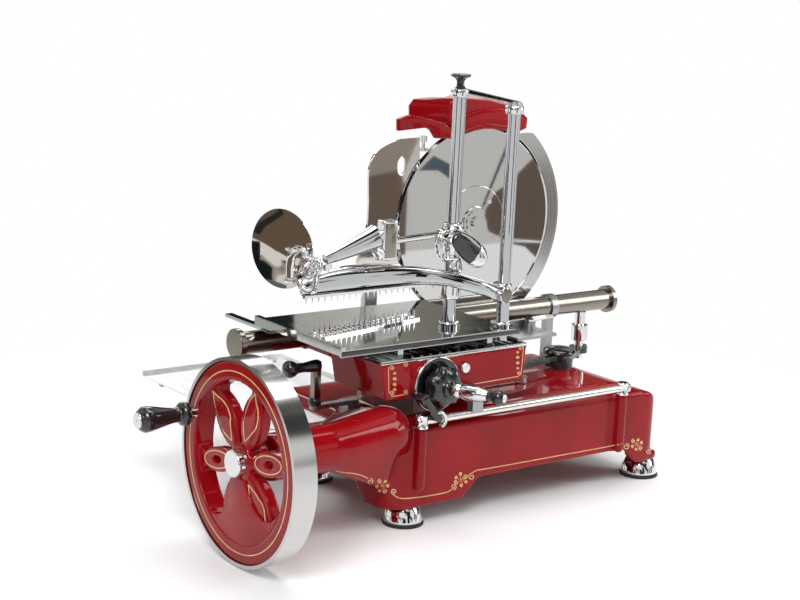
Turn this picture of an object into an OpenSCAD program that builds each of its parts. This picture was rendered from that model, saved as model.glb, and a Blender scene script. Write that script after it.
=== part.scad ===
// Hand cranked flywheel meat slicer: red castings on four bell feet, a flywheel that
// turns the blade and drives the carriage, and a meat table with a spiked press.
// Frame: origin under the front left foot, +X along the base, +Y to the back, +Z up.

/* [Base casting] */
// Distance between the left and right feet
foot_pitch_x = 492; // [480:2:504]
// Distance between the front and back feet
foot_pitch_y = 240; // [232:2:248]
// Height of the deck above the surface
deck_z = 152; // [150:1:153]
// Height of the raised ridge on the deck
ridge_z = 160; // [158:1:161]
// Wall of the base casting
base_wall = 6; // [4:0.5:8]
// Height of the arch between the legs
arch_z = 59; // [50:1:66]
// Radius of a foot where it stands
foot_r = 32; // [28:1:34]
// Height of a whole foot
foot_h = 31; // [28:1:34]
// Thickness of the rubber ring under a foot
pad_h = 5; // [4:0.5:7]

/* [Flywheel] */
// Radius of the flywheel
wheel_r = 146; // [140:1:147]
// Width of the polished rim
wheel_w = 36; // [30:1:38]
// Thickness of the polished rim band
rim_t = 5; // [3:0.5:8]
// Radius of the hub cap
hub_cap_r = 20; // [16:1:24]
// Distance of the crank handle from the axle
handle_r = 124; // [118:1:126]
// Length of the black grip
grip_len = 76; // [66:1:90]
// Radius of the main shaft
shaft_r = 9; // [8:0.5:10]

/* [Blade] */
// Diameter of the blade
blade_d = 322; // [316:2:330]
// Thickness of the blade
blade_t = 3; // [2.5:0.5:4]
// Radius of the blade's hub cap
blade_hub_r = 25; // [20:1:28]
// Radial width of the guard ring
guard_w = 24; // [20:1:26]

/* [Carriage] */
// Width of the carriage box at its top
box_w = 278; // [270:2:280]
// Height of the carriage box
box_h = 60; // [56:1:62]
// Wall of the carriage box
box_wall = 5; // [4:0.5:7]
// Radius of the slide tube
tube_r = 17.5; // [16:0.5:18]
// Length of the slide tube between its caps
tube_len = 748; // [740:2:756]
// Throw of the drive crank
crank_throw = 95; // [85:1:96]
// Radius of the front rail
rail_r = 6; // [5:0.5:7]

/* [Table and press] */
// Width of the meat table
table_w = 322; // [314:2:326]
// Depth of the meat table
table_d = 230; // [220:2:232]
// Height of the left column above the table
column_h = 362; // [350:2:370]
// Radius of a press column
column_r = 10; // [8:0.5:10.5]
// Distance between two spikes of a comb
spike_pitch = 11; // [10:0.5:14]
// Length of a spike
spike_len = 13; // [10:0.5:16]
// Radius of the round hand guard
hand_guard_r = 56; // [46:1:60]

/* [Gauge and sharpener] */
// Thickness of the gauge plate
gauge_t = 4; // [3:0.5:5]
// Greatest opening of the gauge plate, the thickest slice
gauge_travel = 14; // [8:1:15]
// Height of the sharpener housing
sharpener_h = 70; // [64:1:72]

/* [Hidden] */
$fn = 64;
hull_fn = 32;
spike_fn = 6;
eps = 0.5;
run_gap = 0.05;
seat_gap = 0.3;
free_gap = 1;

// Colours as the object shows them
red = [0.62, 0.02, 0.03];
steel = [0.78, 0.78, 0.80];
satin = [0.62, 0.60, 0.56];
black = [0.03, 0.035, 0.035];
grey = [0.5, 0.5, 0.5];

// Outline of the base
base_left = -50;
side_over = 14;
back_over = 28;
base_right = foot_pitch_x + side_over;
base_front = -27;
base_back = foot_pitch_y + back_over;
plan_r = 30;
shoulder_r = 42;
edge_r = 9;
leg_w = 50;
arch_run = 31;
arch_in = 143;
arch_left = base_left + arch_in;
arch_right = base_right - leg_w;
side_leg = 60;
ridge_left = -4;
ridge_short = 62;
ridge_in = 22;
ridge_deep = 190;
ridge_right = base_right - ridge_short;
ridge_front = base_front + ridge_in;
ridge_back = base_front + ridge_deep;
ridge_slope = 20;
bead_r = 5;
web_half = 14;
foot_seat_r = 26;
foot_seat_t = 12;
foot_lip = 8;
foot_in = 2;
bead_sink = 1;
web_in = 1;
shaft_room = 2;
tray_z = 135;
tray_t = 2;
tray_left = -178;
tray_right = 90;
tray_front = 120;
tray_mid = 272;
tray_back = 484;
tray_lip = 9;
tray_gap = 6;
bracket_bar = 8;
tray_bars = [-14, 60];
stud_r = 3;
oil_x = -222;
oil_r = 5;
oil_h = 12;

// Axle of the flywheel and the neck that carries it
axle_y = base_front;
axle_z = 148;
wheel_x = -313;
neck_r = 34;
neck_gap = 14;
neck_left = wheel_x + wheel_w + neck_gap;
neck_right = -165;
flare_right = -45;
flare_y = -5;
flare_r = 41;
flare_low = 64;
flare_depth = 118;
bush_r = 14;
bush_len = 26;
flare_wall = 5;

// Rail and its posts
rail_left_x = 0;
rail_right_x = 405;
rail_out = 9;
rail_y = base_front - rail_out;
rail_z = 167;
boss_r = 9;
boss_up = 5;
boss_top = deck_z + boss_up;
post_lip = 1;
post_over = 2;
post_r = 8;

// Gears: straight teeth on wheels, upright teeth on crown wheels
spur_r = 21;
spur_teeth = 24;
spur_w = 12;
spur_x = -120;
spur_depth = 1.75;
lay_back = 33.1;
lay_drop = 25.9;
lay_y = axle_y + lay_back;
lay_z = axle_z - lay_drop;
lay_r = 6;
crown_r = 18;
crown_teeth = 16;
crown_depth = 1.5;
crown_gap = 0.6;
crown_tooth = 2.2;
crown_w = 8;
crown_disc_t = 6;
crown_room = 3;
crown_edge = 1;
crown_disc_r = crown_r + crown_w / 2 + crown_edge;
cross_x = 297;
crank_y = 95;
web_t = 10;
lay_web_x = [-92, 232];
cross_web_y = [38, 206];

// Blade, its bracket and its chain
blade_x = cross_x;
blade_z = 402;
blade_back = 253;
blade_y = base_front + blade_back;
blade_r = blade_d / 2;
bracket_w = 72;
bracket_t = 32;
bracket_gap = 10;
bracket_y = blade_y + bracket_gap;
bracket_wall = 5;
bracket_r = bracket_w / 2;
chain_w = 8;
chain_t = 4;
chain_in_r = 24.4;
front_wall = 5;
chain_in = 16;
chain_y = bracket_y + chain_in;
chain_hole = 31;
cover_in = 5;
cover_y = bracket_y + bracket_t - cover_in;
sprocket_r = 24;
sprocket_teeth = 16;
blade_shaft_r = 9;
bearing_r = 16;
cover_t = 5;
guard_gap = 1;
guard_t = 10;
guard_back = 3;
guard_y = blade_y + guard_back;

seat_over = 4;
seat_in = 40;

// Carriage
box_left = -58;
box_front = -8;
box_depth = 133;
box_top = 256;
box_draft = 11;
box_mid = box_left + box_w / 2;
arm_w = 12;
tube_back = 223;
tube_y = base_front + tube_back;
tube_z = 252;
tube_x = -172;
cap_over = 6;
cap_lip = 1;
cap_r = tube_r + cap_over;
cap_t = 10;
clamp_wall = 3.3;
clamp_r = tube_r + clamp_wall;
block_w = 14;
block_gap = 35;
travel = 2 * crank_throw;
block_x = [box_left + box_w / 2 + travel / 2, box_left + box_w + travel + block_gap];
arm_xs = [box_left, box_left + box_w - arm_w];
post_x = 521;
drive_post_r = 5.5;
sleeve_r = 8;
sleeve_top = 193;
arm_z = 163;
arm_h = 10;
rod_boss_x = 424;
rod_boss_y = 139;
rod_gap = 0.5;
rod_z = arm_z + arm_h + rod_gap;
rod_h = 9;
boss_out_r = 24;
rod_end_r = 13;
pivot_r = 6;

// Crank under the carriage
crank_gap = 2;
crank_low = ridge_z + crank_gap;
crank_arm_h = 7;
crank_hub_r = 16;
crank_pin_r = 7;
crank_pin_x = cross_x - crank_throw;

// Meat table and columns
table_top = 282;
table_t = 8;
table_over = 75;
table_fore = 4;
table_left = box_left - table_over;
table_right = table_left + table_w;
table_front = box_front - table_fore;
slot_h = 4;
tongue_out = 61;
col_in = [84, 3];
left_col = [table_right - col_in[0], 45];
right_col = [table_right - col_in[1], 14];
feed_travel = 100;
comb_in = 20;
comb_from = [table_left + comb_in, 57];
comb_z = table_top;

// Feed drive on the box's front
feed_x = 44;
feed_z = 212;
feed_disc_r = 42;
feed_knob_r = 34;
screw_r = 6;

// Press
press_rest = 349;
comb_t = 3;

// Gauge plate
gauge_back = 4;
gauge_reach = 57;
gauge_drop = 53;
gauge_rod_in = 33;
gauge_rod_up = 19;
sharp_fore = 12;
gauge_y = blade_y + gauge_back;
gauge_left = blade_x - blade_r - gauge_reach;
gauge_low = blade_z - gauge_drop;
gauge_rod_r = 7;
gauge_rod_z = gauge_low + gauge_rod_up;
gauge_rod_x = gauge_left + gauge_rod_in;
sharp_y = blade_y - sharp_fore;
sharp_t = 54;

sharp_over = 2;
sharp_w = 252;
sharp_sink = 17;
sharp_left = blade_x - blade_r - sharp_over;
sharp_low = blade_z + blade_r - sharp_sink;
band_w = 27;
band_t = 3;
band_in = 106;
lobe_x = [36, 100];
lobe_h = 15;
lobe_t = 8;
stone_r = 12;
stone_t = 8;
stone_side = 52;
stone_out = 8;
stone_x = blade_x - stone_side;
stone_z = blade_z + sqrt((blade_r + stone_out) * (blade_r + stone_out) - stone_side * stone_side);
guide_w = 24;
guide_deep = 14;
guide_y = base_back - guide_deep;
gauge_rod_end = 300;

gauge_w = 109;
gauge_h = 193;
gauge_clear = 4;
gauge_slot_in = 64;
gauge_slot_up = 154;
gauge_slot_x = gauge_left + gauge_slot_in;
gauge_slot_z = gauge_low + gauge_slot_up;
gauge_slot_lean = 40;
gauge_slot_w = 9;
bearing_out = 4;
bearing_in_r = 12;
guard_open = -36;
guard_arms = [345, 450];
stay_w = 24;
stay_t = 6;
stay_in = 18;
knob_in = 66;
stone_knob_x = sharp_left + knob_in;
stone_knob_y = 250;
blade_bevel = 14;
blade_dish = 0.6;
blade_dish_r = 60;
spur_up = 1.3;
spur_down = 1.9;
spur_tooth = 2.1;
lay_over = 8;
gear_lean = -38.04;
crank_wall = 4;

// Flywheel casting
petal_angles = [30, 150, 210, 330];
rib_angles = [30, 330, 210, 150];
slot_angles = [90, 270];
ring_r = 0.78 * wheel_r;
ring_in = 2;
spoke_in = 10;
petal_in = 14;
petal_over = 3;
petal_out = ring_r + petal_over;
petal_half = 24;
loop_half = 18;
wheel_turn = -12;
foot_flare = [96, 8, 20];
bell = [10, 58, 48];
petal_rise = 3;
hub_r = 26;
hub_out = 6;
sector_in = hub_out;
handle_turn = 20;
handle_boss_r = 11;
handle_pin_r = 5;
collar_r = 9;
collar_t = 8;
grip_r = 11;
crank_grip_r = 19;
cap_h = 5;

box_roof = 4;
rib_count = 16;
rib_pitch = box_w / rib_count;
rib_h = 1.5;
sleeve_drop = 10;
arm_wall = 8;
arm_lean = 30;
ring_t = 6;
lobes = 7;
lobe_r = 5;
ear_x = 9;
ear_t = 4;
ear_len = 10;
ear_pin_r = 2.5;
pawl_over = 34;
pawl_low = 160;

// Table, columns and press
lip_h = 10;
lip_t = 3;
edge_w = 8;
edge_h = 5;
tongue_w = 15;
tongue_y = 150;
tongue_end = table_front + table_d + tongue_out;
right_boss_r = 17;
flange_t = 5;
collar_over = 2.5;
right_top = 626;
comb_turn = 12.3;
comb_short = 110;
comb_len = table_w - comb_short;
strip_w = 8;
row_pitch = 15;
row_shift = 3;
spike_rows = 3;
spike_count = floor(comb_len / spike_pitch);
spike_r = 1.6;
spike_tip_r = 0.3;
cap_wide_r = 15;
finial_h = 21;
wing_gap = 13;
wing_over = 25;
wing_x = table_left - wing_over;
wing_w = left_col[0] - wing_gap - wing_x;
wing_y = 57;
wing_t = 5;
wing_rise = 32;
wing_drop = 22;
wing_boss_h = 18;
arm_r = 5;
wing_end_r = 12;
boss_wall = 6;
clamp_out_r = 17;
clamp_low = 384;
clamp_top = 437;
lock_r = 9;
lock_pin_r = 3;
lock_out = 20;
lock_y = left_col[1] - lock_out;
lock_t = 10;
lock_from = [6, 3];
lock_to = [36, 27];
lock_z = 415;
rod_r = 5;
rod_block = 30;
hinge_in = 115;
hinge_x = left_col[0] - hinge_in;
pusher_z = 424;
pin_up = 6;
arm_pin_z = pusher_z + pin_up;
arm_y = 26;
arm_thick = 8;
guard_x = -140;
guard_z = 398;
disc_at = [-203, 41, 423];
disc_turn = 16;
dish_t = 2;
dish_sphere = 600;

// Thickness lever on the left, seen above the neck
lever_x = -91;
lever_y = 110;
lever_low = 178;
lever_top = 240;
lever_w = 12;
lever_t = 5;
lever_hub_r = 8;
lever_up = 10;
lever_bar_z = deck_z + lever_up;
lever_grip = 52;

// Side bracket with the table latch
side_w = 80;
side_left = box_left + box_w - arm_w;
side_right = side_left + side_w;
side_back = 60;
side_top = 281;
latch_in = 62;
latch_x = side_left + latch_in;
latch_y = 44;
latch_r = 6;
latch_len = 46;

// Front fittings of the box
shoe_x = 100;
shoe_half = 10;
stud_x = 97;
stud_z = 231;
stud_top_r = 8;
pawl_x = -4;
pawl_z = 203;
pawl_r = 7;
pawl_y = rail_y - rail_r - free_gap;
pawl_t = 5;
knob_y = -38;
knob_lip = 2;
ear_pin_y = knob_y - knob_lip - ear_len + ear_t;
handle_len = 88;
handle_turn_out = 26;
nut_in = 4;
nut_y = feed_travel + nut_in;
nut_t = 14;
nut_half = 11;
stem_w = 10;
runner_in = 39;
runner_x = [-20, table_right - runner_in];
runner_w = 10;
runner_y = 4;
runner_len = 150;

module xcyl(r, x0, x1, y, z) {
    translate([x0, y, z]) rotate([0, 90, 0]) cylinder(r = r, h = x1 - x0);
}

module ycyl(r, y0, y1, x, z) {
    translate([x, y1, z]) rotate([90, 0, 0]) cylinder(r = r, h = y1 - y0);
}

module zcyl(r, z0, z1, x, y) {
    translate([x, y, z0]) cylinder(r = r, h = z1 - z0);
}

module block(x0, y0, z0, x1, y1, z1) {
    translate([x0, y0, z0]) cube([x1 - x0, y1 - y0, z1 - z0]);
}

// A flat outline drawn in X and Z, with its thickness from y0 to y1
module upright(y0, y1) {
    translate([0, y1, 0]) rotate([90, 0, 0]) linear_extrude(y1 - y0) children();
}

// A flat outline drawn in Y and Z, with its thickness from x0 to x1
module endwise(x0, x1) {
    translate([x0, 0, 0]) rotate([90, 0, 90]) linear_extrude(x1 - x0) children();
}

// A straight link between two points, as wide as twice w
module link(p, q, w) {
    translate(p) rotate(atan2(q[1] - p[1], q[0] - p[0])) translate([0, -w]) square([norm(q - p), 2 * w]);
}

module round_rect(x0, y0, x1, y1, r) {
    translate([x0 + r, y0]) square([x1 - x0 - 2 * r, y1 - y0]);
    translate([x0, y0 + r]) square([x1 - x0, y1 - y0 - 2 * r]);
    for (x = [x0 + r, x1 - r], y = [y0 + r, y1 - r]) translate([x, y]) circle(r);
}

// Base outlines, each drawn in by the distance t
module base_plan(t) {
    round_rect(base_left + t, base_front + t, base_right - t, base_back - t, plan_r - t);
}

module base_front_view(t) {
    difference() {
        union() {
            translate([base_left + t, foot_h]) square([base_right - base_left - 2 * t, deck_z - t - foot_h
                - shoulder_r]);
            translate([base_left + t, foot_h]) square([base_right - base_left - t - shoulder_r,
                deck_z - t - foot_h]);
            translate([base_right - shoulder_r, deck_z - shoulder_r]) circle(shoulder_r - t);
        }
        if (t == 0) polygon([[arch_left, foot_h - eps], [arch_left + arch_run, arch_z],
            [arch_right - arch_run, arch_z], [arch_right, foot_h - eps]]);
    }
}

module base_side_view(t) {
    difference() {
        round_rect(base_front + t, foot_h - shoulder_r, base_back - t, deck_z - t, edge_r);
        if (t == 0) polygon([[base_front + side_leg, foot_h - eps],
            [base_front + side_leg + arch_run, arch_z],
            [base_back - side_leg - arch_run, arch_z], [base_back - side_leg, foot_h - eps]]);
    }
}

module base_body(t) {
    intersection() {
        translate([0, 0, foot_h - (t == 0 ? 0 : eps)]) linear_extrude(deck_z) base_plan(t);
        upright(base_front, base_back) base_front_view(t);
        endwise(base_left, base_right) base_side_view(t);
    }
}

module ridge(t) {
    intersection() {
        endwise(ridge_left, ridge_right + ridge_slope)
            polygon([[ridge_front + t, deck_z - eps - t], [ridge_front + ridge_slope, ridge_z - t],
                [ridge_back - ridge_slope, ridge_z - t], [ridge_back - t, deck_z - eps - t]]);
        upright(ridge_front, ridge_back)
            polygon([[ridge_left + t, deck_z - eps - t], [ridge_left + t, ridge_z],
                [ridge_right, ridge_z], [ridge_right + ridge_slope - t, deck_z - eps - t]]);
    }
}

module flare(t) {
    hull() {
        translate([neck_right, axle_y, axle_z]) rotate([0, 90, 0])
            cylinder(r = neck_r - t, h = eps, $fn = hull_fn);
        translate([flare_right, flare_y, axle_z]) rotate([0, 90, 0])
            cylinder(r = flare_r - t, h = eps, $fn = hull_fn);
        block(flare_right, base_front + edge_r + t, flare_low + t, flare_right + eps,
            flare_depth - t, deck_z - t);
    }
}

// The rounded end of the neck over the deck
module dome(r) translate([flare_right, flare_y, axle_z]) rotate([0, 90, 0]) rotate_extrude()
    intersection() {
        circle(r);
        square(r);
    }

module foot_places() {
    for (x = [0, foot_pitch_x], y = [0, foot_pitch_y]) translate([x, y, 0]) children();
}

module bearing_webs() {
    for (x = lay_web_x) intersection() {
        block(x, lay_y - web_half, lay_z - web_half, x + web_t, lay_y + web_half, axle_z + flare_r);
        union() {
            flare(web_in);
            block(0, base_front, 0, base_right, base_back, deck_z - eps);
        }
    }
    for (y = cross_web_y)
        block(cross_x - web_half, y, lay_z - web_half, cross_x + web_half, y + web_t, deck_z - eps);
}

module base_casting() color(red) {
    difference() {
        union() {
            difference() {
                union() {
                    base_body(0);
                    ridge(0);
                    flare(0);
                    dome(flare_r - 2 * eps);
                    xcyl(bead_r, base_left + plan_r, base_right - shoulder_r,
                        base_front + bead_r - bead_sink, deck_z - bead_r);
                }
                base_body(base_wall);
                difference() {
                    flare(flare_wall);
                    translate([neck_right - eps, axle_y, axle_z]) rotate([0, 90, 0])
                        cylinder(r = neck_r, h = flare_wall);
                }
                dome(flare_r - flare_wall - 2 * eps);
            }
            xcyl(neck_r, neck_left, neck_right + flare_wall, axle_y, axle_z);
            for (x = [rail_left_x, rail_right_x]) {
                zcyl(boss_r, arch_z + boss_r, boss_top, x, rail_y);
                translate([x, rail_y, arch_z + boss_r]) sphere(boss_r);
                block(x - boss_r * 0.8, rail_y, arch_z + boss_r, x + boss_r * 0.8, base_front + base_wall / 2,
                    boss_top - 2 * bead_r);
            }
            foot_places() translate([0, 0, foot_h]) cylinder(r = foot_seat_r, h = foot_seat_t);
            block(blade_x - bracket_r - seat_over, base_back - seat_in, deck_z - edge_r,
                blade_x + bracket_r + seat_over, base_back, deck_z);
            block(gauge_rod_x - guide_w / 2 - seat_over, base_back - seat_in, deck_z - edge_r,
                gauge_rod_x + guide_w / 2 + seat_over, base_back, deck_z);
            bearing_webs();
            zcyl(crank_hub_r, deck_z - base_wall, ridge_z, cross_x, crank_y);
        }
        xcyl(bush_r, neck_left - eps, neck_left + bush_len, axle_y, axle_z);
        xcyl(shaft_r + shaft_room, neck_left, spur_x, axle_y, axle_z);
        xcyl(bush_r, neck_right - bush_len + flare_wall, neck_right + flare_wall + eps,
            axle_y, axle_z);
        xcyl(lay_r + run_gap, spur_x, cross_x - crown_r, lay_y, lay_z);
        ycyl(lay_r + run_gap, cross_web_y[0] - eps, cover_y, cross_x, lay_z);
        zcyl(blade_shaft_r + run_gap, lay_z, ridge_z + eps, cross_x, crank_y);
        zcyl(crown_disc_r + free_gap, lay_z, deck_z - base_wall + crown_room, cross_x, crank_y);
        block(flare_right - eps, lay_y - web_half, lay_z - web_half,
            base_left + base_wall + eps, lay_y + web_half, lay_z + web_half);
        block(cross_x - chain_hole, bracket_y + front_wall, deck_z - edge_r - eps,
            cross_x + chain_hole, cover_y, deck_z + eps);
        xcyl(spur_r + spur_down + free_gap, spur_x - free_gap, spur_x + spur_w + free_gap, axle_y, axle_z);
        xcyl(spur_r + spur_down + free_gap, spur_x - free_gap, spur_x + spur_w + free_gap, lay_y, lay_z);
    }
}

module feet() color(steel) {
    foot_places() rotate_extrude() intersection() {
        translate([0, pad_h]) square([foot_r - foot_in, foot_h - pad_h]);
        union() {
            translate([0, pad_h]) square([foot_r - foot_in, foot_lip]);
            translate([0, pad_h + foot_lip]) circle(foot_r - foot_in);
        }
    }
}

module foot_pads() color(black) foot_places() {
    cylinder(r = foot_r - eps, h = pad_h);
    translate([0, 0, eps]) cylinder(r = foot_r, h = pad_h - 2 * eps);
}

module rail_posts() color(steel) {
    for (x = [rail_left_x, rail_right_x]) {
        zcyl(post_r + post_lip, boss_top, boss_top + post_over, x, rail_y);
        difference() {
            zcyl(post_r, boss_top, rail_z + rail_r + post_over, x, rail_y);
            xcyl(rail_r, rail_left_x - boss_r, rail_right_x + boss_r, rail_y, rail_z);
        }
    }
}

module front_rail() color(steel) {
    xcyl(rail_r, rail_left_x - post_r, rail_right_x + post_r + post_over, rail_y, rail_z);
}

module slice_tray() color(steel) {
    translate([0, 0, tray_z]) linear_extrude(tray_t) {
        translate([tray_left, tray_mid]) square([tray_right - tray_left, tray_back - tray_mid]);
        translate([tray_left, tray_front]) square([base_left - tray_gap - tray_left, tray_back - tray_front]);
    }
    block(tray_left, tray_back - tray_t, tray_z, tray_right, tray_back, tray_z + tray_lip);
    block(tray_right - tray_t, tray_mid, tray_z, tray_right, tray_back, tray_z + tray_lip);
}

module tray_bracket() color(steel) {
    for (x = tray_bars) {
        block(x, base_back, tray_z - bracket_bar, x + bracket_bar, tray_back - bracket_bar, tray_z);
        zcyl(stud_r, tray_z + tray_t, tray_z + tray_t + stud_r, x + bracket_bar / 2,
            tray_back - 3 * bracket_bar);
    }
    block(tray_left + bracket_bar, tray_back - 6 * bracket_bar, tray_z - bracket_bar,
        tray_right - bracket_bar, tray_back - 5 * bracket_bar, tray_z);
}

module slide_blocks() color(grey) {
    for (x = block_x) difference() {
        union() {
            xcyl(clamp_r, x - block_w / 2, x + block_w / 2, tube_y, tube_z);
            block(x - block_w / 2, tube_y - block_w / 2, deck_z, x + block_w / 2,
                tube_y + block_w / 2, tube_z);
            block(x - 1.5 * block_w, tube_y - clamp_r, deck_z, x + 1.5 * block_w, tube_y + clamp_r,
                deck_z + base_wall);
        }
        xcyl(tube_r + run_gap, x - block_w, x + block_w, tube_y, tube_z);
    }
}

module shaft_bushes() color([0.72, 0.5, 0.2]) {
    for (x = [neck_left, neck_right + flare_wall - bush_len]) difference() {
        xcyl(bush_r, x, x + bush_len, axle_y, axle_z);
        xcyl(shaft_r + run_gap, x - eps, x + bush_len + eps, axle_y, axle_z);
    }
    zcyl(oil_r, axle_z + neck_r, axle_z + neck_r + oil_h / 2, oil_x, axle_y);
    zcyl(oil_r * 0.7, axle_z + neck_r, axle_z + neck_r + oil_h, oil_x, axle_y);
}

module outline_bracket() {
    translate([blade_x, blade_z]) circle(bracket_r);
    translate([blade_x - bracket_r, deck_z]) square([bracket_w, blade_z - deck_z]);
}

module blade_bracket() color(red) {
    difference() {
        union() {
            difference() {
                upright(bracket_y, cover_y) outline_bracket();
                upright(bracket_y + front_wall, cover_y + eps) {
                    translate([blade_x, blade_z]) circle(bracket_r - bracket_wall);
                    translate([blade_x - bracket_r + bracket_wall, deck_z - eps])
                        square([bracket_w - 2 * bracket_wall, blade_z - deck_z]);
                }
            }
            ycyl(bearing_r, bracket_y - bearing_out, chain_y - chain_w / 2 - free_gap, blade_x, blade_z);
        }
        ycyl(bearing_in_r, bracket_y - bearing_out - eps, chain_y, blade_x, blade_z);
    }
}

module blade_bush() color([0.72, 0.5, 0.2]) difference() {
    ycyl(bearing_in_r, bracket_y - bearing_out, chain_y - chain_w / 2 - free_gap, blade_x, blade_z);
    ycyl(blade_shaft_r + run_gap, bracket_y - bracket_t, chain_y, blade_x, blade_z);
}

module chain_cover() color(red) difference() {
    union() {
        upright(cover_y, cover_y + cover_t) outline_bracket();
        ycyl(bearing_r, cover_y - cover_t, cover_y + cover_t, blade_x, blade_z);
    }
    ycyl(blade_shaft_r + run_gap, cover_y - bracket_t, cover_y + bracket_t, blade_x, blade_z);
}

// The chain as a closed band round both sprockets
module drive_chain() color(satin) upright(chain_y - chain_w / 2, chain_y + chain_w / 2) difference() {
    hull() for (z = [lay_z, blade_z]) translate([cross_x, z]) circle(chain_in_r + chain_t);
    hull() for (z = [lay_z, blade_z]) translate([cross_x, z]) circle(chain_in_r);
}

// The ring behind the blade's right edge, with two arms to the bracket
module guard_ring() color(steel) {
    upright(guard_y, guard_y + guard_t) difference() {
        translate([blade_x, blade_z]) difference() {
            circle(blade_r + guard_gap + guard_w, $fn = 128);
            circle(blade_r + guard_gap, $fn = 128);
        }
        translate([blade_x - 2 * blade_r, blade_z - 2 * blade_r])
            square([2 * blade_r - guard_open, 4 * blade_r]);
        translate([blade_x - 2 * blade_r, sharp_low - free_gap]) square(4 * blade_r);
    }
    for (z = guard_arms) block(blade_x + bracket_r, bracket_y, z, blade_x + blade_r * 0.98 + guard_gap,
        guard_y + guard_t, z + guard_w);
}

// Shares of the sharpener's width and height, from its lower left corner
sharp_shares = [[0, 0.2], [0.12, 0], [0.44, 0], [0.62, 0.12], [1, 0.03], [1, 0.3], [0.97, 0.58], [0.89, 0.8],
    [0.76, 0.93], [0.6, 0.985], [0.44, 1], [0.26, 0.96], [0.05, 0.8], [0, 0.74]];

module sharp_view() translate([sharp_left, sharp_low]) scale([sharp_w, sharpener_h]) polygon(sharp_shares);

module sharpener_housing() color(red) {
    difference() {
        union() {
            upright(sharp_y, sharp_y + sharp_t) sharp_view();
            upright(sharp_y - band_t, sharp_y + eps) intersection() {
                sharp_view();
                translate([blade_x, blade_z]) circle(blade_r + band_w, $fn = 128);
                translate([sharp_left + band_in, 0]) square([sharp_w, 2 * sharp_low]);
            }
            block(sharp_left + lobe_x[0], sharp_y - lobe_t, sharp_low, sharp_left + lobe_x[1], sharp_y + eps,
                sharp_low + lobe_h);
        }
        ycyl(blade_r - free_gap, sharp_y - 2 * lobe_t, sharp_y + 2 * sharp_t, blade_x, blade_z, $fn = 128);
        upright(sharp_y + bracket_wall, sharp_y + sharp_t - bracket_wall) {
            offset(delta = -bracket_wall) sharp_view();
            translate([blade_x, blade_z]) circle(blade_r + 2 * guard_gap, $fn = 128);
        }
    }
    block(blade_x - stay_w / 2, cover_y + cover_t, blade_z + stay_in, blade_x + stay_w / 2,
        cover_y + cover_t + stay_t, sharp_low + sharpener_h - stay_w / 2);
}

module sharpening_stones() color(grey) {
    ycyl(stone_r, sharp_y + bracket_wall, blade_y - eps, stone_x, stone_z);
    ycyl(stone_r, blade_y + blade_t + eps, blade_y + blade_t + stone_t, stone_x, stone_z);
    ycyl(stone_r / 3, blade_y + blade_t + stone_t, sharp_y + sharp_t - bracket_wall, stone_x, stone_z);
}

module stone_knob() color(steel) {
    zcyl(pivot_r, sharp_low - cap_t, sharp_low, stone_knob_x, stone_knob_y);
    zcyl(pivot_r / 2, sharp_low - 2 * cap_t, sharp_low - cap_t, stone_knob_x, stone_knob_y);
    zcyl(pivot_r * 1.3, sharp_low - 2 * cap_t - cap_h, sharp_low - 2 * cap_t, stone_knob_x, stone_knob_y);
}

module blade() color(steel) translate([blade_x, blade_y + blade_t, blade_z]) rotate([90, 0, 0])
    rotate_extrude($fn = 128) difference() {
        union() {
            translate([blade_shaft_r, 0]) square([blade_r - blade_shaft_r - blade_bevel, blade_t]);
            polygon([[blade_r - blade_bevel - eps, 0], [blade_r, 0], [blade_r, blade_t / 6],
                [blade_r - blade_bevel - eps, blade_t]]);
        }
        translate([blade_dish_r, blade_t - blade_dish]) square([blade_r * 0.6, blade_t]);
    }

module blade_hub() color(steel) {
    translate([blade_x, blade_y, blade_z]) rotate([90, 0, 0]) rotate_extrude() {
        square([blade_hub_r, blade_t]);
        square([blade_hub_r * 0.8, blade_t * 1.6]);
        square([blade_hub_r * 0.4, blade_t * 3]);
    }
}

module tooth_ring(r, teeth, up, down, w) {
    circle(r - down);
    for (i = [0:teeth - 1]) rotate(i * 360 / teeth)
        polygon([[r - down - eps, -w * 0.75], [r, -w / 2], [r + up, -w / 4],
            [r + up, w / 4], [r, w / 2], [r - down - eps, w * 0.75]]);
}

module crown_teeth() {
    for (i = [0:crown_teeth - 1]) rotate(i * 360 / crown_teeth)
        translate([crown_r - crown_w / 2, -crown_tooth / 2, 0]) cube([crown_w, crown_tooth, 2 * crown_depth + eps]);
}

// A crown wheel with its teeth from height zero and its disc above them
module crown_wheel() {
    crown_teeth();
    translate([0, 0, 2 * crown_depth]) cylinder(r = crown_disc_r, h = crown_disc_t);
}

module pinion() linear_extrude(crown_w) rotate(180 / crown_teeth)
    tooth_ring(crown_r, crown_teeth, crown_depth - crown_gap, crown_depth + crown_gap, crown_tooth);

module blade_shaft() color(satin) {
    ycyl(blade_shaft_r, blade_y, cover_y + 2 * cover_t, blade_x, blade_z);
    ycyl(bearing_in_r, blade_y + blade_t, bracket_y - bearing_out - free_gap, blade_x, blade_z);
    sprocket(blade_z);
}

module sprocket(z) upright(chain_y - chain_w / 2 + free_gap, chain_y + chain_w / 2 - free_gap)
    translate([cross_x, z]) rotate(90 / sprocket_teeth)
        tooth_ring(sprocket_r, sprocket_teeth, 0, chain_t / 2, crown_tooth);

module main_shaft() color(satin) {
    xcyl(shaft_r, wheel_x - hub_out, spur_x + spur_w + eps, axle_y, axle_z);
    translate([0, axle_y, axle_z]) endwise(spur_x, spur_x + spur_w) rotate(gear_lean)
        tooth_ring(spur_r, spur_teeth, spur_up, spur_down, spur_tooth);
}

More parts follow.
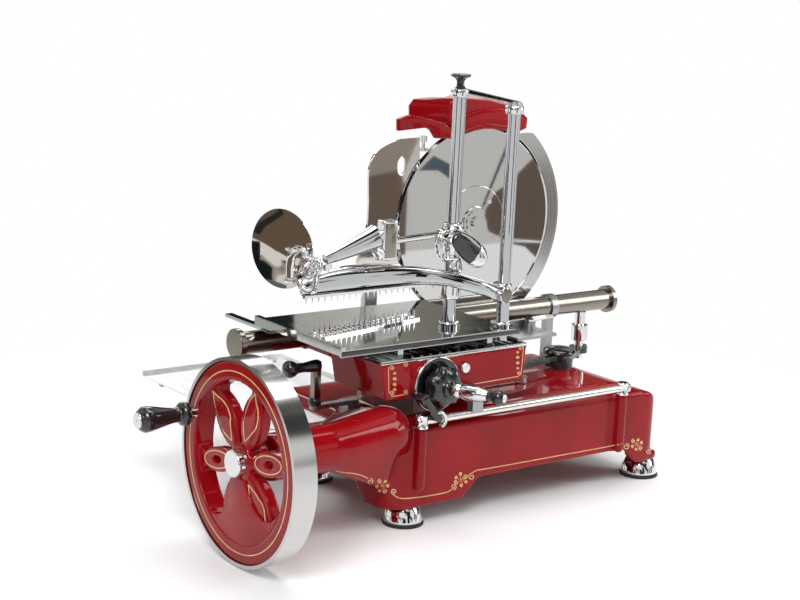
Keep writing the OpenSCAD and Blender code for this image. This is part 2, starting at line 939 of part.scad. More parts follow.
module lay_shaft() color(satin) {
    xcyl(lay_r, spur_x - lay_over, cross_x - crown_r + crown_w / 2, lay_y, lay_z);
    translate([0, lay_y, lay_z]) endwise(spur_x, spur_x + spur_w) rotate(gear_lean + 180 / spur_teeth)
        tooth_ring(spur_r, spur_teeth, spur_up, spur_down, spur_tooth);
    translate([cross_x - crown_r - crown_w / 2, lay_y, lay_z]) rotate([90, 0, 90]) pinion();
}

module cross_shaft() color(satin) {
    ycyl(lay_r, lay_y + crown_r + 2 * crown_depth, cover_y - free_gap, cross_x, lay_z);
    translate([cross_x, lay_y + crown_r - crown_depth, lay_z]) rotate([-90, 0, 0]) crown_wheel();
    translate([cross_x, crank_y - crown_r + crown_w / 2, lay_z]) rotate([90, 0, 0]) pinion();
    sprocket(lay_z);
}

module crank_shaft() color(satin) {
    translate([cross_x, crank_y, lay_z + crown_r - crown_depth]) crown_wheel();
    zcyl(blade_shaft_r, lay_z + crown_r + crown_depth, crank_low + crank_arm_h, cross_x, crank_y);
    translate([0, 0, crank_low]) linear_extrude(crank_arm_h) {
        link([cross_x, crank_y], [crank_pin_x, crank_y], crank_pin_r + crank_wall / 2);
        translate([cross_x, crank_y]) circle(crank_hub_r);
        translate([crank_pin_x, crank_y]) circle(crank_pin_r + crank_wall);
    }
    zcyl(crank_pin_r, crank_low, rod_z - free_gap, crank_pin_x, crank_y);
}

// The broad foot of a petal where it runs into the ring
module petal_foot() polygon([[-foot_flare[1], foot_flare[0]], [foot_flare[1], foot_flare[0]],
    [foot_flare[2], ring_r + eps], [-foot_flare[2], ring_r + eps]]);

// The wide lower sector, narrow at the hub and flaring into the ring
module sector() intersection() {
    circle(ring_r + eps, $fn = 128);
    difference() {
        translate([-bell[1], -wheel_r]) square([2 * bell[1], wheel_r]);
        for (i = [-1, 1]) {
            translate([i * bell[1], bell[2] - ring_r]) circle(bell[2], $fn = 128);
            translate([i * (bell[1] + bell[0]) - bell[1], bell[2] - ring_r]) square([2 * bell[1], wheel_r]);
        }
    }
}

module petal(half) {
    long = (petal_out - petal_in) / 2;
    r = (long * long + half * half) / half / 2;
    translate([0, petal_in + long]) intersection() {
        translate([r - half, 0]) circle(r, $fn = 128);
        translate([half - r, 0]) circle(r, $fn = 128);
    }
}

module handle_place() translate([0, axle_y + handle_r * cos(handle_turn),
    axle_z + handle_r * sin(handle_turn)]) children();

module wheel_casting() color(red) difference() {
    translate([0, axle_y, axle_z]) {
        difference() {
            union() {
                endwise(wheel_x + ring_in, wheel_x + wheel_w - ring_in) difference() {
                    circle(wheel_r - rim_t, $fn = 128);
                    circle(ring_r, $fn = 128);
                }
                endwise(wheel_x + spoke_in, wheel_x + wheel_w - spoke_in) rotate(wheel_turn) {
                    for (a = petal_angles) rotate(a) {
                        petal(petal_half);
                        petal_foot();
                    }
                    for (a = slot_angles) rotate(a) {
                        petal(loop_half);
                        petal_foot();
                    }
                }
                endwise(wheel_x + sector_in, wheel_x + wheel_w - spoke_in) rotate(wheel_turn) sector();
                endwise(wheel_x + spoke_in - petal_rise, wheel_x + spoke_in) rotate(wheel_turn)
                    for (a = rib_angles) rotate(a) petal(petal_half * 0.55);
                xcyl(hub_r, wheel_x + hub_out, wheel_x + wheel_w + hub_out, 0, 0);
            }
            endwise(wheel_x, wheel_x + wheel_w) rotate(wheel_turn) for (a = slot_angles) rotate(a)
                translate([0, ring_r * 0.6]) scale([0.45, 1]) circle(ring_r * 0.1);
        }
    }
    xcyl(shaft_r, wheel_x - hub_out, wheel_x + wheel_w + 2 * hub_out, axle_y, axle_z);
    handle_place() xcyl(handle_pin_r, wheel_x, wheel_x + wheel_w, 0, 0);
}

module wheel_rim() color(steel) translate([0, axle_y, axle_z]) endwise(wheel_x, wheel_x + wheel_w)
    difference() {
        circle(wheel_r, $fn = 128);
        circle(wheel_r - rim_t, $fn = 128);
    }

module hub_cap() color(steel) translate([wheel_x + hub_out, axle_y, axle_z]) rotate([0, -90, 0])
    rotate_extrude() difference() {
        union() {
            square([hub_cap_r, 2 * hub_out]);
            square([hub_cap_r - cap_lip, 2 * hub_out + cap_lip]);
        }
        square([shaft_r, 2 * hub_out]);
    }

module handle_pin() color(steel) handle_place() {
    xcyl(handle_pin_r, wheel_x - collar_t - grip_len, wheel_x + wheel_w - ring_in, 0, 0);
    xcyl(collar_r, wheel_x - collar_t, wheel_x + ring_in, 0, 0);
}

module crank_grip() color(black) handle_place() difference() {
    translate([wheel_x - collar_t - free_gap, 0, 0]) rotate([0, -90, 0]) rotate_extrude() union() {
        scale([crank_grip_r, grip_len]) polygon([[0, 0], [0.6, 0], [0.85, 0.02], [0.92, 0.06], [0.9, 0.13], [0.6, 0.2],
            [0.58, 0.3], [0.72, 0.52], [0.9, 0.74], [1, 0.87], [0.97, 0.94], [0.75, 1], [0, 1]]);
        square([crank_grip_r * 0.6, grip_len + cap_h]);
    }
    xcyl(handle_pin_r + run_gap, wheel_x - collar_t - grip_len - run_gap, wheel_x, 0, 0);
}

module gauge_guide() color(red) difference() {
    union() {
        block(gauge_rod_x - guide_w / 2, guide_y, deck_z, gauge_rod_x + guide_w / 2, base_back,
            gauge_rod_z);
        ycyl(guide_w / 2, guide_y, base_back, gauge_rod_x, gauge_rod_z);
    }
    ycyl(gauge_rod_r + run_gap, guide_y - eps, base_back + eps, gauge_rod_x, gauge_rod_z);
}

module gauge_slide() color(steel) {
    ycyl(gauge_rod_r, gauge_y + gauge_t, gauge_rod_end, gauge_rod_x, gauge_rod_z);
    ycyl(guide_w / 2, gauge_y + gauge_t, gauge_y + 2 * gauge_t, gauge_rod_x, gauge_rod_z);
}

// Shares of the plate's width and height, from its lower left corner
gauge_outline_shares = [[0.01, 0], [0.7, 0], [0.7, 0.5], [1, 0.9], [0.92, 1], [0.48, 0.98],
    [0.36, 0.97], [0.22, 0.93], [0.12, 0.88], [0.05, 0.81], [0.01, 0.72], [0, 0.4]];

module gauge_plate() color(steel) upright(gauge_y, gauge_y + gauge_t) difference() {
    translate([gauge_left, gauge_low]) scale([gauge_w, gauge_h]) polygon(gauge_outline_shares);
    translate([blade_x, blade_z]) circle(blade_r + gauge_clear, $fn = 128);
    translate([gauge_slot_x, gauge_slot_z]) rotate(gauge_slot_lean) hull() {
        for (s = [-1, 1]) translate([s * gauge_slot_w, 0]) circle(slot_h);
    }
}

module lever_bracket() color(grey) difference() {
    union() {
        block(base_left + lever_w, lever_y - lever_w, deck_z, base_left + 3 * lever_w,
            lever_y + lever_w, lever_bar_z);
        block(lever_x, lever_y - lever_w / 2, lever_bar_z - eps, base_left + 3 * lever_w,
            lever_y + lever_w / 2, lever_bar_z + lever_w / 2);
        zcyl(lever_hub_r, lever_bar_z - eps, lever_low - free_gap, lever_x, lever_y);
    }
    zcyl(lever_t / 2 + run_gap, lever_bar_z - free_gap, lever_low, lever_x, lever_y);
}

module thickness_lever() color(steel) {
    zcyl(lever_t / 2, lever_bar_z, lever_low, lever_x, lever_y);
    zcyl(lever_hub_r, lever_low, lever_low + lever_t, lever_x, lever_y);
    block(lever_x - lever_t / 2, lever_y - lever_w / 2, lever_low, lever_x + lever_t / 2,
        lever_y + lever_w / 2, lever_top);
    color(black) translate([lever_x, lever_y, lever_top - lever_w]) rotate([0, -90, 0]) rotate_extrude() {
        square([lever_t, lever_grip]);
        translate([0, lever_grip - lever_w / 2]) intersection() {
            circle(lever_w * 0.8);
            translate([0, -lever_w]) square(2 * lever_w);
        }
    }
}

module box_view(t) polygon([[box_left + t, box_top - box_roof], [box_left + box_draft + t, box_top - box_h + t],
    [box_left + box_w - box_draft / 3 - t, box_top - box_h + t], [box_left + box_w - t, box_top - box_roof]]);

module carriage_box() color(red) difference() {
    union() {
        difference() {
            union() {
                upright(box_front, box_front + box_depth) box_view(0);
                for (x = arm_xs) {
                    block(x, box_front + box_depth - eps, tube_z - tube_r, x + arm_w, tube_y,
                        box_top - box_roof);
                    xcyl(clamp_r, x, x + arm_w, tube_y, tube_z);
                }
            }
            upright(box_front + box_wall, box_front + box_depth - box_wall) {
                box_view(box_wall);
                translate([box_left + box_wall, box_top - box_roof - eps])
                    square([box_w - 2 * box_wall, eps * 2]);
            }
        }
        ycyl(screw_r + box_wall, box_front, box_front + 2 * box_wall, feed_x, feed_z);
    }
    for (x = arm_xs) xcyl(tube_r, x - eps, x + arm_w + eps, tube_y, tube_z);
    ycyl(screw_r + run_gap, box_front - eps, box_front + 3 * box_wall, feed_x, feed_z);
}

module box_top_plate() color(steel) difference() {
    union() {
        block(box_left, box_front, box_top - box_roof, box_left + box_w, box_front + box_depth, box_top);
        for (i = [0:rib_count - 1]) block(box_left + rib_pitch * (i + 0.3), box_front + box_wall, box_top - eps,
            box_left + rib_pitch * (i + 0.6), box_front + box_depth - box_wall, box_top + rib_h);
    }
    for (x = runner_x) block(x - free_gap, box_front - eps, box_top, x + runner_w + free_gap,
        box_front + box_depth + eps, box_top + 2 * rib_h);
    block(feed_x - stem_w / 2 - free_gap, box_front + box_wall, box_top - 2 * box_roof,
        feed_x + stem_w / 2 + free_gap, box_front + box_depth - box_wall, box_top + 2 * rib_h);
}

module slide_tube() color(satin) difference() {
    xcyl(tube_r, tube_x, tube_x + tube_len, tube_y, tube_z);
    zcyl(drive_post_r, tube_z - 2 * tube_r, tube_z, post_x, tube_y);
}

module tube_caps() color(satin) for (x = [tube_x - cap_t, tube_x + tube_len])
    translate([x, tube_y, tube_z]) rotate([0, 90, 0]) rotate_extrude() union() {
        square([cap_r - cap_lip, cap_t]);
        translate([0, cap_lip]) square([cap_r, cap_t - 2 * cap_lip]);
    }

module drive_post() color(steel) {
    zcyl(drive_post_r, sleeve_top, tube_z, post_x, tube_y);
    zcyl(sleeve_r, arm_z - sleeve_drop, sleeve_top, post_x, tube_y);
}

module drive_arm() color(black) difference() {
    union() {
        translate([0, 0, arm_z]) linear_extrude(arm_h) {
            link([post_x, tube_y], [rod_boss_x, rod_boss_y], pivot_r + arm_wall / 2);
            translate([post_x, tube_y]) circle(sleeve_r + arm_wall);
            translate([rod_boss_x, rod_boss_y]) circle(boss_out_r);
            translate([post_x, tube_y]) rotate(arm_lean) translate([0, -sleeve_r])
                square([sleeve_r + 2 * arm_wall, 2 * sleeve_r]);
        }
        zcyl(pivot_r, arm_z, rod_z + rod_h + eps, rod_boss_x, rod_boss_y);
    }
    zcyl(sleeve_r, arm_z - eps, arm_z + arm_h + eps, post_x, tube_y);
    translate([post_x, tube_y, arm_z - eps]) rotate(arm_lean) translate([sleeve_r - free_gap, -free_gap, 0])
        cube([3 * arm_wall, 2 * free_gap, 2 * arm_h]);
}

module con_rod() color(black) translate([0, 0, rod_z]) linear_extrude(rod_h) difference() {
    union() {
        for (p = [[rod_boss_x, rod_boss_y], [crank_pin_x, crank_y]]) translate(p) circle(rod_end_r);
        link([rod_boss_x, rod_boss_y], [crank_pin_x, crank_y], pivot_r);
    }
    translate([rod_boss_x, rod_boss_y]) circle(pivot_r + run_gap);
    translate([crank_pin_x, crank_y]) circle(crank_pin_r);
}

module rail_shoe() color(black) difference() {
    block(shoe_x - shoe_half, rail_y - rail_r, rail_z + run_gap, shoe_x + shoe_half, box_front,
        box_top - box_h + shoe_half);
    xcyl(rail_r + run_gap, shoe_x - 2 * shoe_half, shoe_x + 2 * shoe_half, rail_y, rail_z);
    block(shoe_x - 2 * shoe_half, rail_y + rail_r + free_gap, rail_z - rail_r, shoe_x + 2 * shoe_half,
        box_front + eps, box_top - box_h);
}

module feed_ring() color(black) difference() {
    union() {
        ycyl(feed_disc_r - ring_in, box_front - ring_t, box_front, feed_x, feed_z);
        color(steel) ycyl(feed_disc_r, box_front - ring_t + ring_in, box_front, feed_x, feed_z);
        ycyl(stud_top_r, box_front - ring_t, box_front, stud_x, stud_z);
    }
    ycyl(screw_r + run_gap, box_front - 2 * ring_t, box_front + eps, feed_x, feed_z);
}

module feed_screw() color(steel) difference() {
    ycyl(screw_r, knob_y, box_front + box_depth - box_wall - eps, feed_x, feed_z);
    ycyl(screw_r / 2, box_front + box_depth - 2 * box_wall, box_front + box_depth, feed_x, feed_z);
}

module feed_knob() color(black) difference() {
    union() {
        upright(knob_y, box_front - ring_t - free_gap) translate([feed_x, feed_z]) {
            circle(feed_knob_r - lobe_r);
            for (i = [0:lobes - 1]) rotate(i * 360 / lobes) translate([feed_knob_r - lobe_r, 0]) circle(lobe_r);
        }
        ycyl(collar_r + ring_in, knob_y - knob_lip, knob_y, feed_x, feed_z);
        for (s = [-1, 1]) block(feed_x + s * ear_x - ear_t / 2, knob_y - knob_lip - ear_len, feed_z - ear_t,
            feed_x + s * ear_x + ear_t / 2, knob_y - knob_lip, feed_z + ear_t);
    }
    ycyl(screw_r, knob_y - eps, box_front, feed_x, feed_z);
    xcyl(ear_pin_r + run_gap, feed_x - 2 * ear_x, feed_x + 2 * ear_x, ear_pin_y, feed_z);
}

module handle_at() translate([feed_x, ear_pin_y, feed_z]) rotate([0, 0, handle_turn_out])
    rotate([90, 0, 0]) children();

module feed_handle() color(steel) {
    xcyl(ear_pin_r, feed_x - ear_x - ear_t / 2, feed_x + ear_x + ear_t / 2, ear_pin_y, feed_z);
    handle_at() rotate_extrude() intersection() {
            union() {
                translate([0, -ear_t]) square([ear_t, handle_len]);
                scale([grip_r, handle_len]) polygon([[0, 0.16], [0.8, 0.16], [0.95, 0.18], [0.92, 0.22], [0.98, 0.28],
                    [0.94, 0.48], [0.72, 0.62], [0.5, 0.68], [0, 0.68]]);
                translate([0, handle_len * 0.86]) circle(grip_r);
            }
            translate([0, -2 * ear_t]) square(2 * handle_len);
        }
}

module feed_pawl() color(black) {
    ycyl(pawl_r * 0.5, pawl_y, box_front, pawl_x, pawl_z);
    ycyl(pawl_r, pawl_y - pawl_t, pawl_y, pawl_x, pawl_z);
    hull() {
        ycyl(pawl_r, pawl_y - pawl_t - eps, pawl_y - eps, pawl_x, pawl_z, $fn = hull_fn);
        ycyl(pawl_r * 0.6, rail_y - rail_r - 2 * pawl_t, rail_y - rail_r - pawl_t, pawl_x + pawl_over, pawl_low,
            $fn = hull_fn);
    }
    color(steel) ycyl(pawl_r * 0.5, rail_y - rail_r - pawl_t - eps, rail_y - rail_r - free_gap,
        pawl_x + pawl_over, pawl_low);
}

module side_bracket() color(grey) {
    block(side_left, 0, box_top + rib_h, side_right, side_back, box_top + latch_r);
    block(side_left, side_back - latch_r, box_top + rib_h, side_right, side_back, side_top - latch_r);
    difference() {
        zcyl(latch_r * 1.5, box_top + rib_h, side_top - latch_r - free_gap, latch_x, latch_y);
        zcyl(latch_r / 2 + run_gap, box_top + latch_r, side_top, latch_x, latch_y);
    }
}

module table_latch() color(steel) {
    zcyl(latch_r / 2, box_top + latch_r, side_top - latch_r, latch_x, latch_y);
    translate([0, 0, side_top - latch_r]) linear_extrude(latch_r / 2) hull() {
        translate([latch_x, latch_y]) circle(latch_r * 1.5, $fn = hull_fn);
        translate([latch_x + latch_len, latch_y + latch_r]) circle(latch_r, $fn = hull_fn);
    }
}

// The lug under the table that the feed screw drives
module feed_lug() difference() {
    union() {
        block(feed_x - nut_half, nut_y, feed_z - nut_half, feed_x + nut_half, nut_y + nut_t,
            feed_z + nut_half);
        block(feed_x - stem_w / 2, nut_y, feed_z, feed_x + stem_w / 2, nut_y + nut_t,
            table_top - table_t);
    }
    ycyl(screw_r + run_gap, nut_y - eps, nut_y + nut_t + eps, feed_x, feed_z);
}

module meat_table() color(steel) difference() {
    union() {
        feed_lug();
        block(table_left, table_front, table_top - table_t, table_left + table_w,
            table_front + table_d, table_top);
        block(table_left, table_front, table_top - lip_h, table_left + table_w,
            table_front + lip_t, table_top);
        block(table_left, table_front, table_top, table_left + edge_w, table_front + table_d,
            table_top + edge_h);
        block(table_left - tongue_w, tongue_y, table_top - table_t, table_left + eps,
            table_front + table_d, table_top - lip_t);
        block(table_left - tongue_w, tongue_y, table_top - table_t, table_left - lip_t,
            tongue_end, table_top - lip_t);
        for (x = runner_x) block(x, runner_y, box_top + run_gap, x + runner_w,
            runner_y + runner_len, table_top - table_t + eps);
        zcyl(right_boss_r, table_top - table_t, table_top, right_col[0], right_col[1]);
    }
    for (c = [left_col, right_col]) zcyl(column_r, box_top, table_top + table_t, c[0], c[1]);
}

module at_comb() translate([comb_from[0], comb_from[1], comb_z]) rotate(comb_turn) children();

module spike_plate() color(steel) at_comb() {
    for (row = [0:spike_rows - 1]) translate([row_shift * row, row_pitch * row, 0]) {
        block(0, 0, 0, comb_len, strip_w, comb_t);
        for (i = [0:spike_count - 1]) translate([spike_pitch * (i + 0.5), strip_w / 2, comb_t - eps])
            cylinder(r1 = spike_r, r2 = spike_tip_r, h = spike_len, $fn = spike_fn);
    }
    for (i = [0, comb_len - strip_w]) block(i, strip_w, 0, i + strip_w, row_pitch * (spike_rows - 1), comb_t / 2);
}

module press_columns() color(steel) {
    zcyl(column_r, table_top - table_t, table_top + column_h, left_col[0], left_col[1]);
    zcyl(right_boss_r, table_top, table_top + flange_t, left_col[0], left_col[1]);
    zcyl(column_r, box_top + box_roof, right_top, right_col[0], right_col[1]);
    zcyl(column_r + lip_t, table_top, table_top + flange_t, right_col[0], right_col[1]);
    zcyl(column_r + lip_t, table_top, table_top + 2 * flange_t, left_col[0], left_col[1]);
    zcyl(column_r + collar_over, right_top - 3 * flange_t, right_top - flange_t / 2, right_col[0], right_col[1]);
    hull() {
        zcyl(column_r * 0.8, table_top + column_h - flange_t, table_top + column_h, left_col[0],
            left_col[1], $fn = hull_fn);
        zcyl(column_r * 0.8, right_top - flange_t / 2, right_top, right_col[0], right_col[1],
            $fn = hull_fn);
    }
}

module column_cap() color(black) translate([left_col[0], left_col[1], table_top + column_h])
    rotate_extrude() scale([cap_wide_r, finial_h]) polygon([[0, 0], [0.56, 0], [0.4, 0.16], [0.36, 0.36],
        [0.42, 0.56], [0.62, 0.72], [1, 0.84], [1, 0.96], [0.94, 1], [0, 1]]);

// Shares of the wing's width and height, from its lower left corner
wing_shares = [[0, 0], [1, 0], [1, 0.62], [0.85, 0.86], [0.66, 0.97], [0.45, 1], [0.2, 0.95], [0.06, 0.72],
    [0, 0.45]];

// Plan points of the arm that passes in front of the left column, each with its lowest point and its height
wing_arm = [[-85, 9, 2, 28], [-17, -23, -2, 26], [30, -39, -14, 22], [66, -38, -25, 20]];

module press_wing() color(steel) difference() {
    union() {
        upright(wing_y, wing_y + wing_t) translate([wing_x, press_rest])
            scale([wing_w, wing_rise]) polygon(wing_shares);
        zcyl(column_r + boss_wall, press_rest - wing_drop, press_rest + wing_boss_h, left_col[0], left_col[1]);
        zcyl(column_r + boss_wall, press_rest - wing_drop, press_rest, right_col[0], right_col[1]);
        hull() for (c = [left_col, right_col]) zcyl(column_r, press_rest - wing_drop,
            press_rest - wing_drop / 2, c[0], c[1], $fn = hull_fn);
        for (i = [0:2]) hull() for (a = [wing_arm[i], wing_arm[i + 1]])
            zcyl(arm_r, press_rest + a[2], press_rest + a[2] + a[3], left_col[0] + a[0], left_col[1] + a[1],
                $fn = hull_fn);
        ycyl(wing_end_r, right_col[1] - column_r - wing_end_r, right_col[1], left_col[0] + wing_arm[3][0],
            press_rest + wing_arm[3][2] + wing_arm[3][3] / 2);
        block(wing_x + wing_w - eps, wing_y, press_rest, left_col[0], wing_y + wing_t,
            press_rest + wing_boss_h / 2);
    }
    for (c = [left_col, right_col]) zcyl(column_r + run_gap, table_top, table_top + column_h, c[0], c[1]);
}

module press_comb() color(steel) {
    block(wing_x - strip_w, wing_y + wing_t, press_rest, wing_x + wing_w, wing_y + wing_t + comb_t,
        press_rest + strip_w);
    for (i = [0:spike_count - 1]) translate([wing_x + spike_pitch * i, wing_y + wing_t + comb_t / 2, press_rest + eps])
        rotate([180, 0, 0]) cylinder(r1 = spike_r, r2 = spike_tip_r, h = spike_len, $fn = spike_fn);
}

module press_clamp() color(black) difference() {
    union() {
        zcyl(clamp_out_r, clamp_low, clamp_top, left_col[0], left_col[1]);
        zcyl(clamp_out_r * 0.8, press_rest + wing_boss_h, clamp_low, left_col[0], left_col[1]);
        ycyl(lock_r, lock_y, left_col[1], left_col[0], lock_z);
    }
    zcyl(column_r + run_gap, press_rest, clamp_top + eps, left_col[0], left_col[1]);
    ycyl(lock_pin_r + run_gap, lock_y - eps, left_col[1] - column_r - lip_t, left_col[0], lock_z);
    xcyl(rod_r, left_col[0] - clamp_out_r - lip_t, left_col[0] - clamp_out_r + lip_t, left_col[1], pusher_z);
}

module press_lock() color(steel) {
    ycyl(lock_pin_r, lock_y - free_gap - lock_t, left_col[1] - column_r - 2 * lip_t, left_col[0], lock_z);
    upright(lock_y - free_gap - lock_t, lock_y - free_gap) hull() {
        translate([left_col[0] + lock_from[0], lock_z - lock_from[1]]) circle(lock_r * 1.45, $fn = hull_fn);
        translate([left_col[0] + lock_to[0], lock_z - lock_to[1]]) circle(lock_r * 1.3, $fn = hull_fn);
    }
}

module pusher_rod() color(steel) {
    xcyl(rod_r, hinge_x + rod_block * 0.2, left_col[0] - clamp_out_r + lip_t, left_col[1], pusher_z);
    difference() {
        block(hinge_x - rod_block * 0.3, left_col[1] - rod_block / 3, pusher_z - rod_block,
            hinge_x + rod_block * 0.3, left_col[1] + rod_block / 3, pusher_z + rod_block);
        ycyl(rod_r + run_gap, arm_y, left_col[1] + rod_block, hinge_x, arm_pin_z);
    }
}

module pusher_arm() color(steel) difference() {
    union() {
        ycyl(rod_r, arm_y, left_col[1] + rod_block / 2, hinge_x, arm_pin_z);
        upright(arm_y, arm_y + arm_thick) {
            hull() {
                translate([hinge_x, arm_pin_z]) circle(rod_block * 0.6, $fn = hull_fn);
                translate([guard_x, guard_z]) circle(rod_block * 0.3, $fn = hull_fn);
            }
            hull() {
                translate([guard_x, guard_z]) circle(rod_block * 0.35, $fn = hull_fn);
                translate([guard_x + rod_block, guard_z]) circle(rod_block * 0.35, $fn = hull_fn);
            }
        }
    }
    ycyl(rod_r * 0.6 + run_gap, arm_y - eps, arm_y + arm_thick + eps, guard_x, guard_z);
}

module hand_guard() color(steel) {
    ycyl(rod_r * 0.6, arm_y, arm_y + arm_thick + 2 * lip_t, guard_x, guard_z);
    hull() {
        ycyl(rod_r * 1.5, arm_y + arm_thick + free_gap, arm_y + arm_thick + 2 * lip_t, guard_x, guard_z, $fn = hull_fn);
        translate(disc_at) sphere(rod_r, $fn = hull_fn);
    }
    translate(disc_at) rotate([0, 0, disc_turn]) rotate([0, 90, 0]) rotate_extrude($fn = 128) {
        difference() {
            translate([0, -dish_t]) square([hand_guard_r, 2 * dish_t]);
            translate([0, -dish_t - dish_sphere + dish_t * 1.2]) circle(dish_sphere, $fn = 256);
        }
    }
}

base_casting();
feet();
foot_pads();
rail_posts();
front_rail();
slice_tray();
tray_bracket();
slide_blocks();
shaft_bushes();
blade_bracket();
chain_cover();
blade_bush();
guard_ring();
sharpener_housing();
sharpening_stones();
gauge_guide();
lever_bracket();
drive_chain();
wheel_casting();
wheel_rim();
hub_cap();
main_shaft();
handle_pin();
crank_grip();
lay_shaft();
cross_shaft();
crank_shaft();
blade();
blade_hub();
blade_shaft();
carriage_box();
box_top_plate();
slide_tube();
tube_caps();
drive_post();
drive_arm();
con_rod();
rail_shoe();
feed_ring();
feed_knob();
feed_screw();
feed_handle();
feed_pawl();
side_bracket();
meat_table();
spike_plate();
press_columns();
column_cap();
press_wing();
press_comb();
press_clamp();
press_lock();
pusher_rod();
pusher_arm();
hand_guard();
gauge_plate();
gauge_slide();
thickness_lever();
stone_knob();
table_latch();
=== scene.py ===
import bpy
import bmesh
import math
from mathutils import Vector, Matrix
from mathutils.bvhtree import BVHTree


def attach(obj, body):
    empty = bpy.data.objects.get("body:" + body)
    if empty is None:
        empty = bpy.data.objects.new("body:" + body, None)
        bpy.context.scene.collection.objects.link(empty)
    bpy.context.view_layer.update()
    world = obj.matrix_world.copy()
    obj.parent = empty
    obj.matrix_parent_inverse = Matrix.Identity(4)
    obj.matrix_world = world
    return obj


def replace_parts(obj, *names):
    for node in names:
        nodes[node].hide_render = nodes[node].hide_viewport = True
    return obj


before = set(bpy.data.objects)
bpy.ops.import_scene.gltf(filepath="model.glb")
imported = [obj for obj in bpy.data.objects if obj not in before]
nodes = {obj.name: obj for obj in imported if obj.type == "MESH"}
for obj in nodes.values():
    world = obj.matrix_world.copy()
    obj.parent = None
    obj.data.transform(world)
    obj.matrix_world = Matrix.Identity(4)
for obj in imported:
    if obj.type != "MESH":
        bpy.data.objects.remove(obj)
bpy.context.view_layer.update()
MM = 0.001
UP, RIGHT, LEFT, FRONT, BACK = (0, 0, 1), (1, 0, 0), (-1, 0, 0), (0, -1, 0), (0, 1, 0)

# The photograph's size, its optical middle and its focal length, in pixels
PHOTO_W, PHOTO_H = 800, 600
MID_X, MID_Y = 399.0, 302.4
FOCAL = 1744.1
SENSOR = 36
scene = bpy.context.scene
scene.view_settings.view_transform = "Standard"


def make_camera():
    """The camera that took the photograph, solved from points of the object."""
    a, e, r = math.radians(-37.3), math.radians(12.1), math.radians(2.6)
    back = Vector((math.sin(a) * math.cos(e), -math.cos(a) * math.cos(e), math.sin(e)))
    right = Vector((math.cos(a), math.sin(a), 0))
    up = back.cross(right)
    x = right * math.cos(r) + up * math.sin(r)
    y = up * math.cos(r) - right * math.sin(r)
    cam = bpy.data.cameras.new("photo_camera")
    cam.sensor_width = SENSOR
    cam.sensor_fit = "HORIZONTAL"
    cam.lens = SENSOR * FOCAL / PHOTO_W
    cam.shift_x = (PHOTO_W / 2 - MID_X) / PHOTO_W
    cam.shift_y = (MID_Y - PHOTO_H / 2) / PHOTO_W
    cam.clip_end = 50
    ob = bpy.data.objects.new("photo_camera", cam)
    m = Matrix((x, y, back)).transposed().to_4x4()
    m.translation = Vector((-1.5248, -1.9686, 0.8711))
    ob.matrix_world = m
    scene.collection.objects.link(ob)
    scene.camera = ob


make_camera()


# Node helpers for the materials
def node(t, kind, **k):
    """A new node of a tree, with its inputs or settings given by name."""
    n = t.nodes.new(kind)
    for key, v in k.items():
        name = key.replace("_", " ")
        if name in n.inputs:
            n.inputs[name].default_value = v
        else:
            setattr(n, key, v)
    return n


class Mat:
    def __init__(self, name):
        self.m = bpy.data.materials.new(name)
        self.m.use_nodes = True
        self.t = self.m.node_tree
        self.b = self.t.nodes["Principled BSDF"]

    def link(self, a, b):
        self.t.links.new(a, b)

    def set(self, **k):
        for key, v in k.items():
            self.b.inputs[key.replace("_", " ")].default_value = v

    def coords(self, scale=(1, 1, 1), place=(0, 0, 0)):
        c = node(self.t, "ShaderNodeTexCoord")
        mp = node(self.t, "ShaderNodeMapping", Scale=scale, Location=place)
        self.link(c.outputs["Object"], mp.inputs["Vector"])
        return mp.outputs["Vector"]

    def noise(self, vec, scale, detail=4, rough=0.5):
        n = node(self.t, "ShaderNodeTexNoise", Scale=scale, Detail=detail, Roughness=rough)
        self.link(vec, n.inputs["Vector"])
        return n.outputs["Fac"]

    def finish(self, tone_noise, dark, light, rough_noise, low, high):
        """Colour from dark to light by one noise, and roughness from low to high by another."""
        r = node(self.t, "ShaderNodeValToRGB")
        for e, at, tone in zip(r.color_ramp.elements, (0.3, 0.7), (dark, light)):
            e.position = at
            e.color = (*tone, 1)
        self.link(tone_noise, r.inputs["Fac"])
        self.link(r.outputs["Color"], self.b.inputs["Base Color"])
        g = node(self.t, "ShaderNodeMapRange", From_Min=0.3, From_Max=0.7, To_Min=low, To_Max=high)
        self.link(rough_noise, g.inputs["Value"])
        self.link(g.outputs["Result"], self.b.inputs["Roughness"])

    def bump(self, height, strength, distance):
        n = node(self.t, "ShaderNodeBump", Strength=strength, Distance=distance)
        self.link(height, n.inputs["Height"])
        self.link(n.outputs["Normal"], self.b.inputs["Normal"])


def enamel(name, dark, light, rough=0.10):
    """Glossy paint over a casting: a slow change of depth and a faint orange peel."""
    m = Mat(name)
    v = m.coords()
    m.finish(m.noise(v, 9, 3), dark, light, m.noise(v, 60, 2), rough * 0.8, rough * 1.3)
    m.set(Coat_Weight=0.6, Coat_Roughness=0.02, Coat_IOR=1.36, Specular_IOR_Level=0.08)
    m.bump(m.noise(v, 260, 2), 0.04, 0.0004)
    return m.m


def chrome(name, tone, rough, peel=0.03):
    """Polished metal: slow waves in the surface and a roughness that varies finely."""
    m = Mat(name)
    v = m.coords()
    m.set(Metallic=1.0)
    m.finish(m.noise(v, 14, 3), [c * 0.96 for c in tone], tone, m.noise(v, 90, 5, 0.7), rough * 0.6,
             rough * 1.7)
    m.bump(m.noise(v, 34, 2), peel, 0.001)
    return m.m


